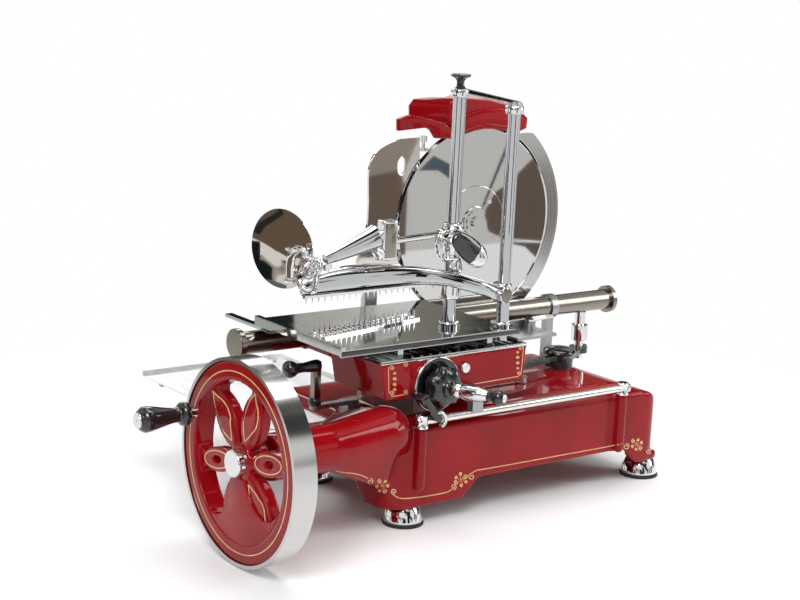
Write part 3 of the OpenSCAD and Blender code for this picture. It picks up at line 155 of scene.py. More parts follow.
def brushed(name, tone, rough, axis, fine=900):
    """Satin steel with fine lines that run along one axis of the part."""
    m = Mat(name)
    s = [1.0, 1.0, 1.0]
    s[axis] = 0.02
    lines = m.noise(m.coords(scale=s), fine, 3, 0.6)
    m.set(Metallic=1.0)
    m.finish(lines, [c * 0.86 for c in tone], tone, lines, rough * 0.75, rough * 1.3)
    m.bump(lines, 0.12, 0.0002)
    return m.m


def turned(name, tone, rough, centre, axis, rings, groove=0.06):
    """Polished steel with fine rings about a centre, as turned or ground."""
    m = Mat(name)
    sep = node(m.t, "ShaderNodeSeparateXYZ")
    m.link(m.coords(place=[-c for c in centre]), sep.inputs["Vector"])
    flat = node(m.t, "ShaderNodeCombineXYZ")
    for end, k in zip("XY", [k for k in "XYZ" if k != axis]):
        m.link(sep.outputs[k], flat.inputs[end])
    length = node(m.t, "ShaderNodeVectorMath", operation="LENGTH")
    m.link(flat.outputs["Vector"], length.inputs[0])
    radius = node(m.t, "ShaderNodeCombineXYZ")
    m.link(length.outputs["Value"], radius.inputs["X"])
    n = m.noise(radius.outputs["Vector"], rings, 4, 0.7)
    m.set(Metallic=1.0)
    m.finish(n, [c * 0.9 for c in tone], tone, n, rough * 0.7, rough * 1.4)
    m.bump(n, groove, 0.0002)
    return m.m


def plastic(name, dark, light, rough, coat=0.0, grain=0.0):
    """A moulded, painted or ground surface, with a coat or a grain where it has one."""
    m = Mat(name)
    v = m.coords()
    m.finish(m.noise(v, 40, 3), dark, light, m.noise(v, 120, 3), rough * 0.8, rough * 1.25)
    m.set(Coat_Weight=coat, Coat_Roughness=0.06)
    m.bump(m.noise(v, 700 if grain else 60, 2), 0.05 + grain, 0.0005)
    return m.m


BLADE_C = (0.297, 0, 0.402)
AXLE_C = (0, -0.027, 0.148)
RED = enamel("red_enamel", (0.22, 0.002, 0.005), (0.33, 0.004, 0.008))
CHROME = chrome("mirror_chrome", (0.74, 0.74, 0.75), 0.04)
TABLE = chrome("table_mirror", (0.50, 0.52, 0.51), 0.06, 0.02)
COLUMN = chrome("column_mirror", (0.50, 0.51, 0.52), 0.04)
SHEET = chrome("sheet_mirror", (0.70, 0.67, 0.63), 0.03, 0.012)
BLADE = turned("blade_steel", (0.68, 0.68, 0.68), 0.025, BLADE_C, "Y", 300, 0.004)
GUARD = turned("guard_steel", (0.60, 0.60, 0.60), 0.12, BLADE_C, "Y", 260)
# Partly painted reflection: the dish's steel is toned warm and darker to stand in for the brown it mirrors.
DISH = chrome("dish_mirror", (0.62, 0.58, 0.54), 0.04, 0.02)
RIM = turned("rim_steel", (0.60, 0.60, 0.59), 0.15, AXLE_C, "X", 300)
# Painted shade: the slide tube's steel is toned dark because it lies in shade under the table; the same dark steel
# serves a few small faces.
TUBE = brushed("tube_steel", (0.29, 0.27, 0.235), 0.2, 0)
TRAY = brushed("tray_steel", (0.93, 0.93, 0.93), 0.42, 1, 500)
RAIL = brushed("rail_steel", (0.84, 0.83, 0.79), 0.16, 0)
SHAFT = brushed("shaft_steel", (0.62, 0.61, 0.60), 0.3, 0)
BLACK = plastic("black_gloss", (0.008, 0.008, 0.009), (0.014, 0.014, 0.015), 0.16, 0.6)
BLACKMET = plastic("black_metal", (0.012, 0.013, 0.014), (0.022, 0.023, 0.024), 0.28, 0.3)
RUBBER = plastic("foot_rubber", (0.012, 0.012, 0.012), (0.028, 0.028, 0.028), 0.7, 0, 0.2)
BRONZE = brushed("bush_bronze", (0.66, 0.44, 0.20), 0.3, 0)
GREYMET = brushed("grey_metal", (0.42, 0.42, 0.42), 0.34, 2, 260)
STONE = plastic("grinding_stone", (0.34, 0.33, 0.31), (0.52, 0.5, 0.47), 0.9, 0, 0.5)
GOLD = plastic("gold_line", (0.66, 0.40, 0.16), (0.86, 0.58, 0.28), 0.3, 0.4)

# Looks of the carried-over solids
LOOKS = (
    (RED, "base_casting blade_bracket chain_cover sharpener_housing wheel_casting carriage_box"),
    (CHROME, "feet rail_posts hub_cap handle_pin drive_post feed_screw feed_handle spike_plate press_wing "
             "press_comb press_clamp press_lock pusher_rod pusher_arm thickness_lever stone_knob table_latch"),
    (SHAFT, "tray_bracket gauge_guide drive_chain main_shaft lay_shaft cross_shaft crank_shaft blade_shaft "
            "gauge_slide"),
    (GREYMET, "slide_blocks lever_bracket rail_shoe side_bracket"), (COLUMN, "press_columns"),
    (BLACK, "crank_grip feed_ring feed_knob column_cap"), (BLACKMET, "drive_arm con_rod feed_pawl"),
    (RAIL, "front_rail"), (TRAY, "slice_tray"), (RUBBER, "foot_pads"), (BRONZE, "shaft_bushes blade_bush"),
    (GUARD, "guard_ring"), (STONE, "sharpening_stones"), (RIM, "wheel_rim"), (BLADE, "blade blade_hub"),
    (TABLE, "box_top_plate meat_table"), (TUBE, "slide_tube tube_caps"), (SHEET, "hand_guard gauge_plate"),
)
for material, names in LOOKS:
    for name in names.split():
        looks = nodes[name].data.materials
        looks.clear()
        looks.append(material)


def place(name, bm):
    """The mesh as a new object of the scene."""
    mesh = bpy.data.meshes.new(name)
    bm.to_mesh(mesh)
    bm.free()
    ob = bpy.data.objects.new(name, mesh)
    scene.collection.objects.link(ob)
    return ob


def add(name, bm, material, body, smooth=True, angle=35):
    """A finished piece of the part, on its body."""
    bmesh.ops.recalc_face_normals(bm, faces=bm.faces)
    ob = place(name, bm)
    ob.data.materials.append(material)
    if smooth:
        for p in ob.data.polygons:
            p.use_smooth = True
        ob.data.set_sharp_from_angle(angle=math.radians(angle))
    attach(ob, body)
    return ob


def cast(name, body, voxel, rounds, material, ratio):
    """A casting's own look: the same solid with its edges rounded as a sand casting's are."""
    ob = bpy.data.objects.new(name + "_cast", nodes[name].data.copy())
    scene.collection.objects.link(ob)
    rm = ob.modifiers.new("remesh", "REMESH")
    rm.mode = "VOXEL"
    rm.voxel_size = voxel
    sm = ob.modifiers.new("smooth", "SMOOTH")
    sm.factor = 0.5
    sm.iterations = rounds
    ob.modifiers.new("thin", "DECIMATE").ratio = ratio
    dg = bpy.context.evaluated_depsgraph_get()
    new = bpy.data.meshes.new_from_object(ob.evaluated_get(dg))
    ob.modifiers.clear()
    ob.data = new
    for p in new.polygons:
        p.use_smooth = True
    new.materials.clear()
    new.materials.append(material)
    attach(ob, body)
    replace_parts(ob, name)
    return ob


def lathe(name, profile, at, axis, material, body, n=56, angle=32):
    """A turned piece: profile is (distance along the axis, radius) in millimetres."""
    axis = Vector(axis).normalized()
    side = axis.orthogonal().normalized()
    other = axis.cross(side)
    at = Vector(at)
    bm = bmesh.new()
    rings = []
    for d, r in profile:
        c = at + axis * d
        if r < 0.01:
            rings.append([bm.verts.new(c * MM)])
        else:
            rings.append([bm.verts.new((c + (side * math.cos(t) + other * math.sin(t)) * r) * MM)
                          for t in (2 * math.pi * k / n for k in range(n))])
    for a, b in zip(rings, rings[1:]):
        for k in range(n):
            quad = [a[k % len(a)], a[(k + 1) % len(a)], b[(k + 1) % len(b)], b[k % len(b)]]
            face = list(dict.fromkeys(quad))
            if len(face) > 2:
                bm.faces.new(face)
    for ring in (rings[0], rings[-1]):
        if len(ring) > 2:
            bm.faces.new(ring)
    return add(name, bm, material, body, True, angle)


def curve_profile(points, steps):
    """A smooth line through the given points."""
    out = []
    p = [points[0]] + list(points) + [points[-1]]
    for i in range(1, len(p) - 2):
        a, b, c, d = p[i - 1], p[i], p[i + 1], p[i + 2]
        for k in range(steps):
            t = k / steps
            out.append(tuple(0.5 * (2 * b[j] + (c[j] - a[j]) * t
                                    + (2 * a[j] - 5 * b[j] + 4 * c[j] - d[j]) * t * t
                                    + (3 * b[j] - a[j] - 3 * c[j] + d[j]) * t ** 3) for j in range(len(b))))
    out.append(tuple(points[-1]))
    return out


def turn(name, points, at, axis, material, body, end=None, steps=3, n=56, angle=32):
    """A turned piece with a smooth profile, and a flat face over its end where end says how far it lies."""
    flat = [] if end is None else [(end, 0)]
    return lathe(name, curve_profile(points, steps) + flat, at, axis, material, body, n, angle)


def skin(bm, rings):
    """Faces between rings of as many points, and one over each end."""
    n = len(rings[0])
    for a, b in zip(rings, rings[1:]):
        for k in range(n):
            bm.faces.new([a[k], a[(k + 1) % n], b[(k + 1) % n], b[k]])
    bm.faces.new(rings[0])
    bm.faces.new(rings[-1])


def soften(bm, edges, offset, parts=3):
    """Rounds these edges."""
    bmesh.ops.bevel(bm, geom=edges, offset=offset, segments=parts, profile=0.5, affect="EDGES")


def loft(name, sections, material, body, n=28, power=2.6, steps=5, angle=40):
    """A swept piece: each section is (centre, first axis, second axis, half sizes) in millimetres."""
    flat = [tuple(c) + tuple(u) + tuple(v) + (a, b) for c, u, v, a, b in sections]
    bm = bmesh.new()
    rings = []
    for s in curve_profile(flat, steps):
        c, u, v = Vector(s[0:3]), Vector(s[3:6]).normalized(), Vector(s[6:9]).normalized()
        a, b = max(s[9], 0.05), max(s[10], 0.05)
        ring = []
        for k in range(n):
            t = 2 * math.pi * k / n
            cu, sv = math.cos(t), math.sin(t)
            x = math.copysign(abs(cu) ** (2 / power), cu) * a
            y = math.copysign(abs(sv) ** (2 / power), sv) * b
            ring.append(bm.verts.new((c + u * x + v * y) * MM))
        rings.append(ring)
    skin(bm, rings)
    return add(name, bm, material, body, True, angle)


def smooth_path(points, steps):
    return [Vector(p) for p in curve_profile([tuple(p) for p in points], steps)]


def ribbon(name, paths, normals, width, material, body, thick=0.9):
    """Painted lines: flat strips that lie half sunk in the surface."""
    bm = bmesh.new()
    for pts, nrm in zip(paths, normals):
        rows = []
        for i, (p, n) in enumerate(zip(pts, nrm)):
            t = pts[min(i + 1, len(pts) - 1)] - pts[max(i - 1, 0)]
            if t.length < 1e-6:
                t = Vector(RIGHT)
            s = t.cross(n).normalized() * width / 2
            up = n.normalized() * thick / 2
            rows.append([bm.verts.new(q * MM) for q in (p - s - up, p - s + up, p + s + up, p + s - up)])
        skin(bm, rows)
    return add(name, bm, material, body, False)


# Paths given by their place in the photograph, laid on the surface they are painted on
CAM = scene.camera.matrix_world


def photo_ray(px, py):
    """Start and direction of the ray that shows at this place of the photograph."""
    d = CAM.to_3x3() @ Vector(((px - MID_X) / FOCAL, -(py - MID_Y) / FOCAL, -1))
    return CAM.translation, d.normalized()


def tree_of(ob):
    mesh = ob.data
    return BVHTree.FromPolygons([v.co.copy() for v in mesh.vertices], [list(p.vertices) for p in mesh.polygons])


def meet(tree, start, way):
    """Where a ray meets a surface, in millimetres, and the normal there on the ray's side."""
    at, normal = tree.ray_cast(start, way)[:2]
    if at is None:
        return None, None
    return at / MM, normal if normal.dot(way) < 0 else -normal


def on_surface(tree, pts):
    """The points and normals of the surface under a line of the photograph."""
    path, nrm = [], []
    for p in curve_profile(pts, 6):
        q, n = meet(tree, *photo_ray(*p))
        if q and not (path and (q - path[-1]).length > 30):
            path.append(q)
            nrm.append(n)
    return path, nrm


def paint(name, tree, lines, width, material, body):
    laid = [on_surface(tree, pts) for pts in lines]
    laid = [(path, nrm) for path, nrm in laid if len(path) > 2]
    ribbon(name, [path for path, nrm in laid], [nrm for path, nrm in laid], width, material, body)


base = cast("base_casting", "frame", 0.0026, 16, RED, 0.4)
wheel = cast("wheel_casting", "flywheel", 0.0017, 4, RED, 0.45)
box = cast("carriage_box", "carriage", 0.0018, 3, RED, 0.4)
cast("blade_bracket", "frame", 0.0018, 3, RED, 0.4)
cast("gauge_guide", "frame", 0.0016, 3, SHAFT, 0.4)


def lay(tree, pts, direction, lift=120):
    """Points near a surface, moved along a direction until they lie on it."""
    d = Vector(direction).normalized()
    path, nrm = [], []
    for p in pts:
        q, n = meet(tree, (Vector(p) - d * lift) * MM, d)
        if q:
            path.append(q)
            nrm.append(n)
    return path, nrm


# The flywheel's painted lines: a ring, the outlines of three spokes and two closed ovals
AX, AY, AZ = -313, -27, 148


def wheel_lines():
    tree = tree_of(wheel)
    paths, normals = [], []

    def keep(run, nr):
        if len(run) > 2:
            paths.append(run)
            normals.append(nr)

    def go(pts):
        run, nr = [], []
        for q, n in zip(*lay(tree, pts, RIGHT)):
            if run and (q - run[-1]).length > 9:
                keep(run, nr)
                run, nr = [], []
            run.append(q)
            nr.append(n)
        keep(run, nr)

    def beside(a, r, w):
        """The point at radius r on the line at angle a, moved w millimetres to its side."""
        t = math.radians(-a)
        return AX, AY + (w * math.cos(t) - r * math.sin(t)), AZ + (w * math.sin(t) + r * math.cos(t))

    go([(AX, AY + 127 * math.sin(t), AZ + 127 * math.cos(t))
        for t in (math.radians(3 * k) for k in range(121))])
    root = 34
    for a, half, top in ((42, 15.5, 112), (-18, 15.5, 112), (222, 13, 110)):
        for side in (-1, 1):
            go([beside(a, root + (top - root) * t, half * math.sin(math.pi * min(t * 1.02, 1)) * side)
                for t in (k / 24 for k in range(25))])
    for a in (102, 282):
        go([beside(a, 67 - 33 * math.cos(t), 12.5 * math.sin(t))
            for t in (2 * math.pi * k / 48 for k in range(49))])
    ribbon("wheel_gold_lines", paths, normals, 1.5, GOLD, "flywheel", 1.2)


wheel_lines()


# Painted lines of the base and the box, each placed by the photograph and laid on the casting
def curl(x, y, r, way, start):
    """A scroll that winds 1.3 times inwards; way is 1 or -1."""
    out = []
    for t in (k / 14 for k in range(15)):
        a = math.radians(start) + way * 2 * math.pi * 1.3 * t
        rr = r * (1 - 0.75 * t)
        out.append((x + rr * math.cos(a), y + rr * math.sin(a)))
    return out


def floret(x, y, s, lean):
    """A small flower of six dots between three pairs of scrolls."""
    lines = []
    c, d = math.cos(lean), math.sin(lean)

    def at(u, v):
        return (x + (u * c - v * d) * s, y + (u * d + v * c) * s)

    for k in range(6):
        a = math.radians(60 * k)
        q = at(2.3 * math.cos(a), 2.3 * math.sin(a))
        lines.append([(q[0] - 0.35, q[1]), q, (q[0] + 0.35, q[1])])
    for u in (-1, 1):
        lines.append(curl(*at(5.2 * u, 2.0 * u), 2.3 * s, u, 90 * u))
        lines.append(curl(*at(4.0 * u, -3.6 * u), 1.7 * s, -u, -60 * u))
        lines.append(curl(*at(1.2 * u, 5.4 * u), 1.5 * s, u, 150))
    lines.append([at(-1.1, 0), at(0, 0), at(1.1, 0)])
    return lines


base_lines = [
    [(336, 471), (345, 472.5), (354, 473.5), (362, 475.5), (368, 478.5)],
    [(393, 494), (397, 497), (404, 498.5), (420, 497), (436, 494.5), (447, 492), (452, 489)],
    [(472, 473), (476, 470.5), (484, 469), (510, 464.5), (540, 459), (570, 453.5), (600, 448), (624, 443.5)],
    curl(370, 481.5, 3.2, 1, -90), curl(394, 491.5, 3.0, 1, 90), curl(453.5, 486.8, 3.0, -1, 90),
    curl(471.5, 476.5, 3.4, -1, -90), curl(626, 446.6, 3.2, 1, -90), curl(648, 452, 2.6, -1, 60),
]
base_lines += floret(382.5, 486, 1.0, 0.7) + floret(461, 479.5, 1.0, -0.9) + floret(637, 444.5, 0.9, 0.4)
paint("base_gold_lines", tree_of(base), base_lines, 1.35, GOLD, "frame")

box_lines = [
    [(436, 359.2), (450, 356.9), (470, 353.4), (500, 348), (520, 344.6)],
    [(523.2, 346.5), (522.7, 355), (521.8, 365), (520.8, 373.6)],
    [(518.5, 376.3), (505, 378.6), (490, 381.2), (468, 385)],
    [(388.4, 367), (388.6, 378), (388.8, 393)],
    [(391, 396.4), (398, 395.6), (404, 394.6)], [(391, 364.2), (397, 363.4), (404, 362.3)],
    curl(434.5, 361.8, 2.4, 1, -90), curl(520.8, 347.6, 2.2, 1, 90), curl(518.6, 373.4, 2.2, -1, 90),
    curl(391.6, 367.2, 2.4, 1, 0), curl(391.8, 393.4, 2.4, -1, 0), curl(405.5, 392, 2.3, -1, 90),
    curl(405.5, 364.6, 2.3, 1, -90),
]
for y, k in ((373, 0.55), (378.4, 0.7), (384.2, 0.7), (389.4, 0.55)):
    box_lines += [curl(394.6, y, 2.6 * k, 1, 0), curl(394.6, y, 2.6 * k, -1, 180)]
for y, k in ((352, 0.5), (357, 0.65), (362.6, 0.65), (368, 0.5)):
    box_lines += [curl(517.6, y, 2.4 * k, 1, 0), curl(517.6, y, 2.4 * k, -1, 180)]
paint("box_gold_lines", tree_of(box), box_lines, 1.1, GOLD, "carriage")


# Grip of the crank: a collar by the wheel, a swelling body and a polished end cap
GRIP = (AX - 9, AY + 124 * math.cos(math.radians(20)), AZ + 124 * math.sin(math.radians(20)))
grip = turn("crank_grip_body", [(0, 11), (1, 15.5), (4, 17.2), (9, 17.2), (13, 14.5), (16, 11.2), (24, 11),
    (40, 13.8), (56, 17.2), (66, 18.6), (71, 18), (76, 14.2), (78, 11.5), (78, 0)], GRIP, LEFT, BLACK, "grip",
    steps=4)
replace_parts(grip, "crank_grip")
lathe("crank_grip_cap", [(76, 0), (76, 11.4), (79.4, 11.4), (80.6, 10.6), (80.6, 2.4), (79.8, 2.2), (79.8, 0)],
    GRIP, LEFT, CHROME, "grip")

# The wheel's weighted sector: a flat web between the hub and the ring, a little behind the ring's face
def sector_web():
    x, deep, reach = -0.3096, 0.011, 117.5
    pts = [(47.8, 61.5), (40, 58.3), (31, 57.2), (20.4, 60.3), (9, 66.5), (-1, 76), (-3.5, 88), (-5.5, 101),
           (-14.1, 123.3), (-28, 128), (-45, 126), (-50.7, 114), (-59.2, 101), (-75, 89.5), (-93, 84),
           (-112.6, 88.6), (-126.8, 100), (-138.2, 113.2)]
    for k in range(41):
        a = math.radians(-107.4 - (360 - 107.4 - 139.2) * k / 40)
        pts.append((AY + reach * math.sin(a), AZ + reach * math.cos(a)))
    bm = bmesh.new()
    face = bm.faces.new([bm.verts.new((x, y * MM, z * MM)) for y, z in pts])
    for g in bmesh.ops.extrude_face_region(bm, geom=[face])["geom"]:
        if isinstance(g, bmesh.types.BMVert):
            g.co.x += deep
    front = [e for e in bm.edges if all(abs(v.co.x - x) < 1e-6 for v in e.verts)]
    soften(bm, front, 0.0016)
    add("sector_web", bm, RED, "flywheel", True, 40)


sector_web()

# Hub disc with its rounded edge
hub = lathe("hub_disc", [(-12, 0), (-12, 19.4), (-2, 19.8), (0, 19.2), (1, 18.2), (1.3, 0)], (AX - 6, AY, AZ), LEFT,
    CHROME, "flywheel")
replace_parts(hub, "hub_cap")

# Feet: a low dome and the rubber ring that it stands on
for i, (fx, fy) in enumerate(((0, 0), (492, 0), (0, 240), (492, 240))):
    dome = turn("foot_dome_%d" % i, [(5, 27), (6, 30), (8, 30.4), (12, 29.6), (18, 28), (24, 25.4), (29, 22.6),
        (31.5, 20.5)], (fx, fy, 0), UP, CHROME, "frame", 31.5, 4)
    ring = lathe("foot_ring_%d" % i, [(0, 0), (0, 30.6), (1.4, 31.6), (4, 31.6), (5.6, 30.4), (5.6, 0)],
        (fx, fy, 0), UP, RUBBER, "frame")
    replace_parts(dome, "feet")
    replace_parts(ring, "foot_pads")

# Ferrules of the rail's posts
for i, fx in enumerate((0, 405)):
    turn("post_ferrule_%d" % i, [(157, 9.6), (158.5, 10.2), (160, 9.4), (166, 8.4), (173, 8.6), (175.5, 9.2),
        (177, 8)], (fx, -36, 0), UP, CHROME, "frame", 177)
for i, (fx, s) in enumerate(((-7, -1), (414, 1))):
    lathe("rail_end_%d" % i, [(-2, 0), (-2, 7.4), (2, 7.8), (4, 6.6), (5, 0)], (fx, -36, 167), (s, 0, 0), CHROME,
        "frame")


def swept(name, pts, material, body, n=32, power=2.4):
    """A bar along points (x, y, z, half thickness across, half height), with its section square to the path."""
    sec = []
    for i, p in enumerate(pts):
        a, b = Vector(pts[max(i - 1, 0)][:3]), Vector(pts[min(i + 1, len(pts) - 1)][:3])
        t = (b - a).normalized()
        side = t.cross(Vector(UP))
        side = side.normalized() if side.length > 0.05 else Vector(BACK)
        if side.y < 0:
            side = -side
        up = side.cross(t).normalized()
        if up.z < 0:
            up = -up
        sec.append((p[:3], side, up, p[3], p[4]))
    return loft(name, sec, material, body, n, power)


def wire(name, pts, r, material, body, wide=1.0, n=16):
    """A bent rod through points; wide stretches its section along Y."""
    pts = smooth_path(pts, 5)
    bm = bmesh.new()
    rings = []
    for i, p in enumerate(pts):
        t = (pts[min(i + 1, len(pts) - 1)] - pts[max(i - 1, 0)]).normalized()
        v = Vector(BACK)
        v = v - t * v.dot(t)
        v = v.normalized() if v.length > 0.1 else Vector(RIGHT)
        u = t.cross(v).normalized()
        rings.append([bm.verts.new((p + u * r * math.cos(a) + v * r * wide * math.sin(a)) * MM)
                      for a in (2 * math.pi * k / n for k in range(n))])
    skin(bm, rings)
    return add(name, bm, material, body)


def brick(name, lo, hi, bevel, material, body, parts=4):
    """A block between two corners in millimetres, with rounded edges."""
    bm = bmesh.new()
    bmesh.ops.create_cube(bm, size=1)
    lo, hi = Vector(lo) * MM, Vector(hi) * MM
    for v in bm.verts:
        v.co = Vector([(lo[k] + hi[k]) / 2 + v.co[k] * (hi[k] - lo[k]) for k in range(3)])
    if bevel:
        soften(bm, list(bm.edges), bevel * MM, parts)
    return add(name, bm, material, body)


def lobed(name, rings, at, count, material, body, n=112):
    """A hand knob along -Y: rings are (distance, radius, depth of the lobes)."""
    bm = bmesh.new()
    loops = []
    for d, r, k in rings:
        loop = []
        for a in (2 * math.pi * i / n for i in range(n)):
            w = 0.5 + 0.5 * math.cos(count * a)
            rr = r - k * (1 - w) ** 0.8
            loop.append(bm.verts.new((at[0] * MM + rr * MM * math.cos(a), (at[1] - d) * MM,
                                      at[2] * MM + rr * MM * math.sin(a))))
        loops.append(loop)
    skin(bm, loops)
    return add(name, bm, material, body, True, 30)


# Feet of the two columns
POST_1, POST_2 = (105, 45, 0), (184, 16, 0)

# The press's wing: a polished casting that passes in front of the left column
wing = swept("wing_body", [(-158, 59, 356, 3, 6), (-140, 59, 361.5, 5, 11.5), (-100, 58, 365, 8, 15.5),
    (-50, 57, 366, 10, 16.5), (0, 55, 366, 11, 16), (40, 46, 366, 11, 14), (75, 30, 363, 11, 12),
    (105, 16, 356, 10.5, 11), (135, 8, 347, 10, 11), (158, 7, 338, 10, 11), (171, 8, 334, 9, 11)], COLUMN, "press",
    36, 2.2)
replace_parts(wing, "press_wing")
swept("wing_ridge", [(-140, 63, 371, 4, 3), (-120, 63, 377, 7, 6), (-80, 63, 381, 8, 6.5), (-40, 63, 381, 8, 6),
    (0, 61, 379, 7, 5), (30, 56, 376, 4, 3)], CHROME, "press", 24, 2.0)
turn("wing_boss_left", [(327, 15.2), (329, 16.2), (334, 16.2), (345, 15.6), (356, 14.6), (364, 13.2), (367, 12.2)],
    POST_1, UP, CHROME, "press")
turn("wing_boss_right", [(325, 14.2), (327, 15.4), (331, 15.4), (343, 15), (347, 14.4), (349, 12.8)], POST_2, UP,
    CHROME, "press")
lathe("wing_end", [(0, 8), (0, 11.4), (1, 12.2), (20, 12.2), (22.6, 11.6), (23.6, 10.2)], (171, 13, 334), FRONT,
    CHROME, "press")
lathe("wing_end_face", [(23, 0), (23, 10.4), (23.8, 10.2), (24.2, 0)], (171, 13, 334), FRONT, TUBE, "press")
swept("wing_strut", [(118, 45, 345, 6, 6), (150, 32, 340, 5, 6), (182, 18, 336, 6, 6)], CHROME, "press")


def comb():
    """A straight rail with short spikes under the wing."""
    bm = bmesh.new()
    lo, hi = (-152, 56, 346), (92, 62, 350)
    for v in bmesh.ops.create_cube(bm, size=1)["verts"]:
        v.co = Vector([((lo[k] + hi[k]) / 2 + v.co[k] * (hi[k] - lo[k])) * MM for k in range(3)])
    n, root, tip, radius = 10, 0.3465, 0.3365, 1.7
    for i in range(22):
        x, y = -148 + 11 * i, 59
        top = [bm.verts.new(((x + radius * math.cos(a)) * MM, (y + radius * math.sin(a)) * MM, root))
               for a in (2 * math.pi * k / n for k in range(n))]
        end = bm.verts.new((x * MM, y * MM, tip))
        for k in range(n):
            bm.faces.new([top[k], top[(k + 1) % n], end])
        bm.faces.new(top)
    ob = add("comb_rail", bm, CHROME, "press", True, 30)
    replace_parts(ob, "press_comb")


comb()

# Clamp on the left column, with the rod's boss, two bent straps and the polished black lever
clamp = turn("clamp_collar", [(384, 12), (387, 14), (391, 14.4), (396, 13), (402, 14.6), (409, 16), (415, 15.4),
    (420, 13.2), (424, 13), (428, 15), (431, 16.8), (434, 17), (437, 15.6)], POST_1, UP, CHROME, "press")
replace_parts(clamp, "press_clamp")
turn("clamp_rod_boss", [(0, 7.4), (2, 8.6), (6, 9.2), (12, 9.6), (20, 8)], (78, 45, 425.5), RIGHT, CHROME, "press")
turn("clamp_lock_boss", [(0, 9), (2, 10.4), (8, 10.8), (22, 9.6)], (105, 24, 415), BACK, CHROME, "press")
wire("clamp_strap_left", [(88, 41, 432), (77, 40, 427), (72, 40, 413), (75, 40, 398), (86, 40, 388), (98, 41, 384)],
    2.6, CHROME, "press", 2.2)
wire("clamp_strap_low", [(100, 33, 400), (108, 31, 392), (113, 30, 381), (110, 31, 371), (103, 32, 367)], 2.4,
    CHROME, "press", 2.0)
lathe("clamp_top_ring", [(437, 11.2), (437, 14), (438, 14.6), (441, 14.6), (442, 13.6), (442, 11.2)], POST_1, UP,
    CHROME, "press")


def lever_piece(name, stops, material):
    """Part of the clamp lever: stops are (distance, half width, half thickness) along it."""
    d = Vector((0.805, 0, -0.594))
    side = Vector((0.594, 0, 0.805))
    at = Vector((88, 20, 427))
    return loft(name, [(at + d * s, side, BACK, w, t) for s, w, t in stops], material, "press_lock", 36, 2.2, 5, 35)


lever = lever_piece("lock_lever", [(0, 5, 2.5), (3, 10, 5), (12, 14.5, 6), (26, 17.5, 7), (40, 18.4, 7.4),
    (50, 18, 7.4), (52, 17.6, 7.2)], BLACK)
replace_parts(lever, "press_lock")
lever_piece("lock_lever_cap", [(50, 18.2, 8.4), (52, 18.8, 9), (60, 17.6, 9), (68, 14, 8.4), (73, 9, 7),
    (75, 4, 4)], CHROME)
lathe("lock_pin", [(0, 6), (8, 6)], (105, 18, 415), BACK, CHROME, "press_lock")

# The pusher: rod, block, tapered arm, knuckle and dish
rod = lathe("pusher_rod_bar", [(0, 5), (92, 5)], (-4, 45, 422.5), (1, 0, 0.045), CHROME, "press")
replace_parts(rod, "pusher_rod")
brick("pusher_block", (-31, 36, 395), (-5, 54, 454), 2.6, CHROME, "press")
brick("pusher_block_face", (-28, 35.4, 399), (-8, 37, 450), 0.5, TUBE, "press", 2)
turn("pusher_block_screw", [(0, 4.4), (1, 5), (5, 5), (6.4, 4)], (-6, 45, 441), RIGHT, CHROME, "press", 6.6)
arm = swept("pusher_arm_cone", [(-137.5, 30, 407.2, 6.2, 7.7), (-120, 31, 412, 8, 9.6), (-90, 34, 420, 10, 13),
    (-60, 37, 428, 11.6, 16), (-47, 38.6, 431.4, 12.3, 17.8), (-44, 39, 432.3, 12.4, 18),
    (-41.6, 39.2, 433, 11.6, 14.4), (-39.8, 39.4, 433.6, 9, 9)], COLUMN, "pusher_arm", 36, 2.5)
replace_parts(arm, "pusher_arm")
swept("pusher_arm_tongue", [(-43, 42, 432, 5, 9), (-14, 45, 430, 5, 9)], CHROME, "pusher_arm")
swept("pusher_arm_heel", [(-44, 40, 412, 7, 5), (-36, 41, 408, 8, 8), (-32, 42, 404, 8, 10)], CHROME, "pusher_arm")

brick("knuckle_fork", (-172, 21, 386), (-148, 40, 407), 5, CHROME, "hand_guard", 5)
for i, (x, z, r) in enumerate(((-166, 396, 15.6), (-158, 397, 15.6), (-150.6, 398, 11.6))):
    turn("knuckle_rib_%d" % i, [(0, r - 1.6), (0.6, r), (2.4, r + 0.2), (3, r - 1.2)], (x, 30, z), (1, 0, -0.18),
        CHROME, "hand_guard")
turn("knuckle_pin", [(0, 0.1), (0, 5), (1.4, 6), (26, 6), (27.4, 5), (27.4, 0.1)], (-140, 17, 398), BACK, CHROME,
    "hand_guard", steps=2)


def at_y(px, py, y):
    """The point on the upright plane y (mm) that shows at this place of the photograph."""
    o, d = photo_ray(px, py)
    return (o + d * ((y * MM - o.y) / d.y)) / MM


def arc_px(pts, n=6):
    """A smooth line through places of the photograph."""
    return [tuple(Vector(p)) for p in curve_profile(pts, n)]


def slab(name, outline, y0, y1, bevel, material, body, hole=(), angle=34):
    """A plate with a rounded front, drawn on the plane y0 as the photograph shows it."""
    bm = bmesh.new()
    edges = []
    for loop in (outline, hole):
        pts = [at_y(px, py, y0) for px, py in loop]
        vs = [bm.verts.new(Vector((q.x, y1, q.z)) * MM) for q in pts]
        edges += [bm.edges.new((vs[k - 1], vs[k])) for k in range(len(vs))]
    bmesh.ops.triangle_fill(bm, use_beauty=True, edges=edges)
    for g in bmesh.ops.extrude_face_region(bm, geom=bm.faces[:])["geom"]:
        if isinstance(g, bmesh.types.BMVert):
            g.co.y = y0 * MM
    front = [e for e in bm.edges if all(abs(v.co.y - y0 * MM) < 1e-6 for v in e.verts)
             and e.calc_face_angle(0) > 0.5]
    soften(bm, front, bevel * MM)
    bmesh.ops.triangulate(bm, faces=[f for f in bm.faces if len(f.verts) > 4])
    return add(name, bm, material, body, True, angle)


